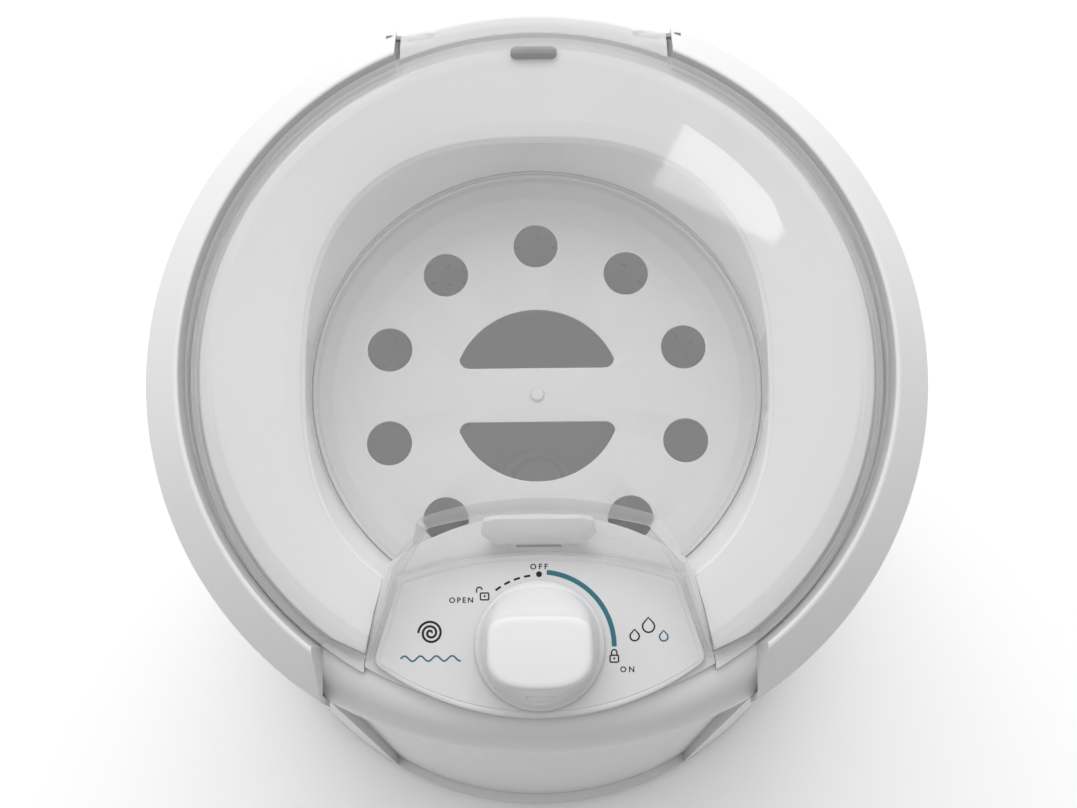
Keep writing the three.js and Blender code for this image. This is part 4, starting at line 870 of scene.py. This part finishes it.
# From OFF four dashes lead to OPEN, and a teal arc leads to ON.
dashes = []
for i in range(4):
    start = -38 + 8.6 * i
    dashes.append(stroke([around_knob(40.5, start + k) for k in (0, 2.6, 5.2)], 1.2))
teal_arc = stroke([around_knob(42.3, 6 + 2.5 * i) for i in range(35)], 2.8)
# On the left is a spiral over a wave, on the right are three drops.
spiral, steps = [], 60
for i in range(steps + 1):
    angle = math.radians(15 * i)
    reach = 0.6 + 6.4 * i / steps
    spiral.append((-62 + reach * math.cos(angle), -155 + reach * math.sin(angle)))
wave, wave_length, wave_height = [], 9, 1.5
for i in range(39):
    along = 0.9 * i
    rise = wave_height * math.sin(along * 2 * math.pi / wave_length)
    wave.append((-79 + along, -169.5 + rise))
printed("panel_marks_black", [
    spot(*around_knob(41, 0), 1.7), *dashes, word("OFF", 0, -117.8, 3.2, 1.5),
    word("OPEN", -44.5, -136.6, 3.1, 1.4), word("ON", 49.5, -176.9, 3.2, 1.5),
    *padlock(*around_knob(43, -46.5), 1.6), *padlock(42.2, -169.6), stroke(spiral, 1.3),
    drop(54, -158, 2.6), drop(62, -152.5, 3.4)], black_ink)
printed("panel_marks_teal", [teal_arc, stroke(wave, 1.0), drop(70.5, -158.5, 2.4)], teal_ink)


# ---- Lid ----

def lid_dome(inset, low):
    """The domed lid as a solid, made smaller all round by an inset."""
    rim, step = LID - inset, LID_STEP - inset / 2
    profile = [(0, low), (rim, low, 0.0 if inset else 0.6), (rim, EDGE + 22 - inset, 3.0),
               (step + 3, EDGE + 34 - inset, 1.2), (step, EDGE + 37 - inset, 1.0),
               (step - 22, EDGE + 41.5 - inset, 60.0),
               (0.6 * LID_STEP, EDGE + 45.5 - inset, 150.0),
               (0.3 * LID_STEP, EDGE + 47.5 - inset, 300.0), (0, EDGE + 48 - inset)]
    return lathed("tool", profile, FINE)


def front_cut(margin):
    """The notch that goes out of the dome for the panel and the bridge."""
    heights = (LID_BOTTOM - 20, LID_BOTTOM, BAND, EDGE + 50)
    return lofted("tool", *((lid_cut_outline(height, margin), height) for height in heights))


def hinge_skirt():
    """The lid's rear edge, which reaches out over the hinge's pocket."""
    outside = [(RING - 0.5, EDGE - 0.5, 0.5), (RING - 0.2, EDGE + 2, 5.0),
               (CREST, EDGE + 20.2, 4.0), (LID - 1, EDGE + 22)]
    inside = [(LID - 1, EDGE + 19), (CREST - 0.5, EDGE + 17, 3.0), (RING - 4.5, EDGE + 1, 3.0),
              (RING - 3.5, EDGE - 0.5, 0.5)]
    return within(lathed("tool", outside + inside, FINE), slab(SKIRT_HALF, 1))


def knuckle(side):
    """A barrel round the hinge's pin, with a web that ends inside the skirt over it."""
    barrel = on_hinge(4, side, KNUCKLE_START, KNUCKLE_END, 40)
    low_x, high_x = sorted((side * KNUCKLE_START, side * KNUCKLE_END))
    web = box_tool(low_x, high_x, HINGE_Y - 4, HINGE_Y + 2, HINGE_HEIGHT, EDGE + 19)
    under = revolved("tool", [(0, EDGE), (RING - 2, EDGE), (CREST + 1, EDGE + 18),
                              (0, EDGE + 19)], MEDIUM)
    return fuse(barrel, within(web, under))


def clear_lid():
    lid = carve(lid_dome(0, LID_BOTTOM), front_cut(0))
    lid.name = "clear_lid_moulding"
    carve(lid, carve(lid_dome(WALL, LID_BOTTOM - 10), front_cut(WALL)))
    fuse(lid, hinge_skirt(), knuckle(-1), knuckle(1))
    for side in (-1, 1):
        carve(lid, on_hinge(PIN_BORE, side, KNUCKLE_START + 4, KNUCKLE_END + 5, 24))
    return soften(lid, 0.5, 40, 3)


def latch_plate():
    """A six-sided tab behind the notch's wall, with the hook that the lock's bolt goes into."""
    tilt, foot, hook_low = math.atan(NOTCH_LEAN), DECK_TOP + 1.6, 530.7
    wall_y = PANEL_BACK + NOTCH_GAP + WALL / math.cos(tilt)
    face_y = wall_y + NOTCH_LEAN * (foot - LID_BOTTOM) + 0.6
    outline = [(-26, 0), (26, 0), (33, 11.3), (31, 24.3), (25, 27), (-25, 27), (-31, 24.3),
               (-33, 11.3)]
    plate = prism("lid_latch_plate", rounded(outline, 2.0), -3, 0)
    turned(plate, 90 - math.degrees(tilt), "X")
    moved(plate, 0, face_y - 0.3, foot)
    front, back = face_y + 0.3, face_y + 0.3 + WALL
    fuse(plate, box_tool(-13, 13, front, back, hook_low, foot + 1.2))
    carve(plate, box_tool(-8, 8, front - 1, back + 1, hook_low + WALL, hook_low + 15))
    return soften(plate, 0.6, 40)


lid = fit(clear_lid(), "lid")
# The flatter band over the notch is frosted, and the skirt behind the rim is hazy.
finish_faces(lid, frosted_san, lambda x, y, z, normal: (
    0.3 < normal.z < 0.9 and z > BAND - 4 and abs(x) < 90 and -130 < y < -76))
finish_faces(lid, hazy_san, lambda x, y, z, normal: y > 0 and math.hypot(x, y) > LID + 1)
fit(latch_plate(), "lid_latch", finish=latch_abs_painted_lighter)

pad_outline = rounded([(-14, 190), (14, 190), (14, 197.5), (-14, 197.5)], 3.6)
pad = prism("rear_stop_pad_rubber", pad_outline, EDGE + 10.3, EDGE + 13.3)
fit(soften(pad, 0.6, 40), "rear_stop_pad")


# ---- Knob ----

def grip_outline(share, shrink=0.0):
    """The grip from above: round at its foot (0) and a squarish oval at its face (1), which
    lies towards the front and bulges there."""
    half_length = 35.5 - 6.0 * share ** 0.6 - shrink
    half_width = 34.8 - 13.8 * share - shrink
    outline, steps = [], 96
    for i in range(steps):
        angle = 2 * math.pi * i / steps
        x, y = math.cos(angle), math.sin(angle)
        power = 2 + (2.6 if y > 0 else 0.7) * share
        reach = (abs(x) ** power + abs(y) ** power) ** (-1 / power)
        outline.append((KNOB[0] + x * reach * half_length,
                        KNOB[1] - 7 * share + y * reach * half_width))
    return outline


def inset_outline(half, back):
    front = -210
    return [(-half, front), (half, front), (half, back), (-half, back)]


def knob():
    low, rim, foot, rise = PANEL_TOP + GAP, 37, 5, 23.4
    profile = [(0, low), (rim, low, 0.6), (rim, low + 4, 3.0), (rim - 3, low + 6.4, 2.0),
               (0, low + 7.4)]
    flange = lathed("knob_moulding", profile, 144, KNOB)
    shares = [i / 10 for i in range(11)]
    layers = [(grip_outline(share), low + foot + rise * share ** 1.15) for share in shares]
    # The grip's face has a rounded edge.
    for height, shrink in ((29.6, 0.5), (30.4, 1.5), (30.8, 2.8), (31, 4.6)):
        layers.append((grip_outline(1, shrink), low + height))
    fuse(flange, lofted("tool", *layers))
    # A small inset marks the grip's side at the front.
    carve(flange, lofted("tool", (inset_outline(6.5, -195.3), low + 9.5),
                         (inset_outline(8.5, -192.3), low + 19.5)))
    return soften(flange, 0.5, 35)


fit(knob(), "knob", finish=knob_abs)


# ---- Basket, neck ring and press disc ----

def finger_outline(side):
    """One of the two D-shaped holes that leave a bar between them for the fingers."""
    lower = arc(42, 23, 6, -90, 0, 6)
    top = bow(48, 23, 54.6, 24)[1:-1]
    outline = [*lower, *top, *mirrored(lower)]
    return outline if side > 0 else [(x, -y) for x, y in outline][::-1]


def press_disc():
    low = DISC_UNDER
    profile = [(0, low), (111, low, 3.0), (127, low + 5, 6.0), (DISC, DISC_RIM - 7, 8.0),
               (DISC, DISC_RIM, 0.8), (DISC - 2.5, DISC_RIM, 0.8), (DISC - 3.5, DISC_RIM - 6, 5.0),
               (125.5, low + 7.5, 5.0), (111, low + 2.5, 3.0), (0, low + 2.5)]
    disc = lathed("press_disc_moulding", profile)
    holes, count, reach, radius = [], 10, 96, 13.9
    for i in range(count):
        angle = math.radians(360 / count * i)
        centre = (reach * math.sin(angle), reach * math.cos(angle))
        holes.append(disc_tool(radius, low - 30, low + 30, centre, 64))
    carve(disc, joined("tool", holes))
    for side in (1, -1):
        carve(disc, prism("tool", finger_outline(side), low - 30, low + 30))
    soften(disc, 0.55, 40, 3)
    # The mould's gate leaves a small nub in the middle.
    nub_profile = [(0, low + 2), (5.2, low + 2), (3.6, low + 4.6, 1.6), (0, low + 4.8)]
    fuse(disc, lathed("tool", nub_profile, 48))
    return soften(disc, 0)


def spin_basket():
    low, inner, rim = 174.0, BASKET - 2, NECK_BOTTOM - GAP
    profile = [(20, low + 8), (70, low + 8, 4.0), (84, low, 6.0), (140, low, 10.0),
               (BASKET, low + 12, 8.0), (BASKET, rim), (inner, rim), (inner, low + 13, 8.0),
               (139, low + 2, 10.0), (85, low + 2, 6.0), (71, low + 10, 4.0), (20, low + 10)]
    basket = lathed("spin_basket_shell", profile, 180)
    # The rows of drain holes are staggered.
    holes, rows, columns = [], 12, 36
    for row in range(rows):
        for i in range(columns):
            hole = disc_tool(2.4, inner - 10, inner + 10, steps=10)
            turn = 360 / columns * (i + row % 2 / 2)
            holes.append(aimed(hole, turn, 0, low + 30 + 23 * row))
    carve(basket, joined("tool", holes))
    return soften(basket, 0)


def neck_ring():
    bore = 137.5
    profile = [(bore, NECK_BOTTOM, 0.5), (BASKET, NECK_BOTTOM, 0.8), (BASKET, NECK_TOP - 8, 4.0),
               (BASKET - 5, NECK_TOP - 2, 3.0), (bore, NECK_TOP, 0.4)]
    return soften(lathed("basket_neck_ring_moulding", profile, MEDIUM), 0)


def hub_cap():
    """The cap over the nut that holds the basket on its shaft."""
    low = 184.3
    profile = [(0, low), (29, low, 0.6), (29, low + 3.4, 1.6), (25, low + 4.4, 2.0),
               (22, low + 4.2, 1.0), (18, low + 8.6, 4.0), (8, low + 10.4, 3.0),
               (5, low + 9.4, 1.0), (0, low + 9.4)]
    return soften(lathed("hub_cap_moulding", profile, 96), 0)


fit(press_disc(), "press_disc", "press_disc_grip", "press_disc_rim")
fit(hub_cap(), "hub_cap")
fit(spin_basket(), "spin_basket")
fit(neck_ring(), "basket_neck_ring")


# ---- Springs, spout and gland ----

def coil(name, centre, radius, wire, low, high, turns):
    """A wound spring whose closed ends don't rise."""
    steps, sides = 24, 8  # along each turn, and round the wire
    closed = 0.75
    total = int(steps * turns)
    points, faces = [], []
    for i in range(total + 1):
        share = i / total
        angle = 2 * math.pi * turns * share
        rise = min(max((share * turns - closed) / (turns - 2 * closed), 0), 1)
        height = low + wire + (high - low - 2 * wire) * rise
        for k in range(sides):
            side = 2 * math.pi * k / sides
            reach = radius - wire + wire * math.cos(side)
            points.append((centre[0] + reach * math.cos(angle),
                           centre[1] + reach * math.sin(angle), height + wire * math.sin(side)))
    for i in range(total):
        here, above = sides * i, sides * (i + 1)
        for k in range(sides):
            n = (k + 1) % sides
            faces.append((here + k, here + n, above + n, above + k))
    faces += [tuple(range(sides)), tuple(range(sides * total, sides * (total + 1)))[::-1]]
    return soften(mesh_piece(name, points, faces), 0)


for i in range(3):
    node = f"suspension_spring_{i + 1}"
    low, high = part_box(node)
    middle = ((low[0] + high[0]) / 2 / MM, (low[1] + high[1]) / 2 / MM)
    spring = coil(f"{node}_coil", middle, 13, 1.5, low[2] / MM, high[2] / MM, 7.5)
    fit(spring, node)


def drain_spout():
    profile = [(10, 0), (15, 0), (15, 13.5), (21, 13.5, 0.8), (21, 16.5, 0.8), (14, 16.5, 0.6),
               (14, 26), (14.6, 27, 0.4), (13.4, 30, 0.4), (13.4, 32), (14.2, 33, 0.4),
               (13, 37.5, 0.8), (10, 37.5, 0.5)]
    spout = lathed("drain_spout_moulding", profile, 64)
    return soften(aimed(spout, SPOUT_TURN, SPOUT_REACH, SPOUT_HEIGHT), 0)


def cord_gland():
    profile = [(4, 0), (9, 0), (9, 7.45), (13, 7.45, 1.0), (12, 10.45, 1.2), (4, 10.45, 0.8)]
    gland = lathed("cord_gland_rubber", profile, 48)
    return soften(aimed(gland, GLAND_TURN, GLAND_REACH, GLAND_HEIGHT), 0)


fit(drain_spout(), "drain_spout")
fit(cord_gland(), "cord_gland")


# ---- Floor, light and camera ----

floor_mesh = bpy.data.meshes.new("studio_floor")
floor_mesh.from_pydata([(-9, -9, 0), (9, -9, 0), (9, 9, 0), (-9, 9, 0)], [], [(0, 1, 2, 3)])
floor = placed("studio_floor", floor_mesh)
floor_mesh.materials.append(moulding("matt_white_studio_paper", "fafafa", "f8f8f8", 0.9, 5.0,
                                     0.01, 0.1, cloud=900.0))

studio = bpy.data.worlds.new("studio")
studio.use_nodes = True
bpy.context.scene.world = studio
air = studio.node_tree
air.nodes.clear()
# The studio is brightest overhead and behind the dryer, which leaves its front in soft shade,
# and a little brighter on the left.
LEFTWARD, BACKWARD, DIM, BRIGHT = -0.16, 0.9, 0.05, 1.42
direction = add(air, "TexCoord", {}).outputs["Generated"]
parts = add(air, "SeparateXYZ", {0: direction})
side = add(air, "Math", {0: parts.outputs["X"], 1: LEFTWARD, 2: parts.outputs["Z"]},
           operation="MULTIPLY_ADD")
rise = add(air, "Math", {0: parts.outputs["Y"], 1: BACKWARD, 2: side.outputs[0]},
           operation="MULTIPLY_ADD")
strength = add(air, "MapRange", {"Value": rise.outputs[0], "From Min": -0.35,
                                 "From Max": 1.15, "To Min": DIM, "To Max": BRIGHT})
sky = add(air, "Background", {"Color": (1, 1, 1, 1), "Strength": strength.outputs[0]})
add(air, "OutputWorld", {"Surface": sky.outputs[0]})


def softbox(name, place, target, size, power):
    """A rectangular lamp aimed at a point: metres and watts."""
    lamp = bpy.data.lights.new(name, "AREA")
    lamp.shape = "RECTANGLE"
    lamp.size, lamp.size_y = size
    lamp.energy = power
    light = placed(name, lamp)
    light.location = place
    light.rotation_euler = (Vector(target) - Vector(place)).to_track_quat("-Z", "Y").to_euler()
    return light


rear_softbox = softbox("rear_softbox", (-0.25, 1.9, 2.6), (0, 0, 0.5), (2.2, 1.2), 26)
rear_softbox.visible_glossy = False  # so it lights the dryer without a glare on the lid
softbox("right_softbox", (0.62, 1.1, 2.6), (0, 0, 0.5), (0.42, 0.3), 1.6)

# The camera as it was fitted to the photo: millimetres for the lens, metres, degrees
PLACE, TILT, ROLL = (0, -0.286, 1.753), 12.59, -0.6
lens = bpy.data.cameras.new("photo_camera")
lens.sensor_width = 36
lens.lens = 69.43
lens.shift_x = 0.0012
lens.clip_start, lens.clip_end = 0.05, 40
camera = placed("photo_camera", lens)
camera.matrix_world = (Matrix.Translation(PLACE) @ Matrix.Rotation(math.radians(TILT), 4, "X")
                       @ Matrix.Rotation(math.radians(ROLL), 4, "Z"))
bpy.context.scene.camera = camera
bpy.context.scene.view_settings.view_transform = "Standard"

bpy.context.view_layer.update()
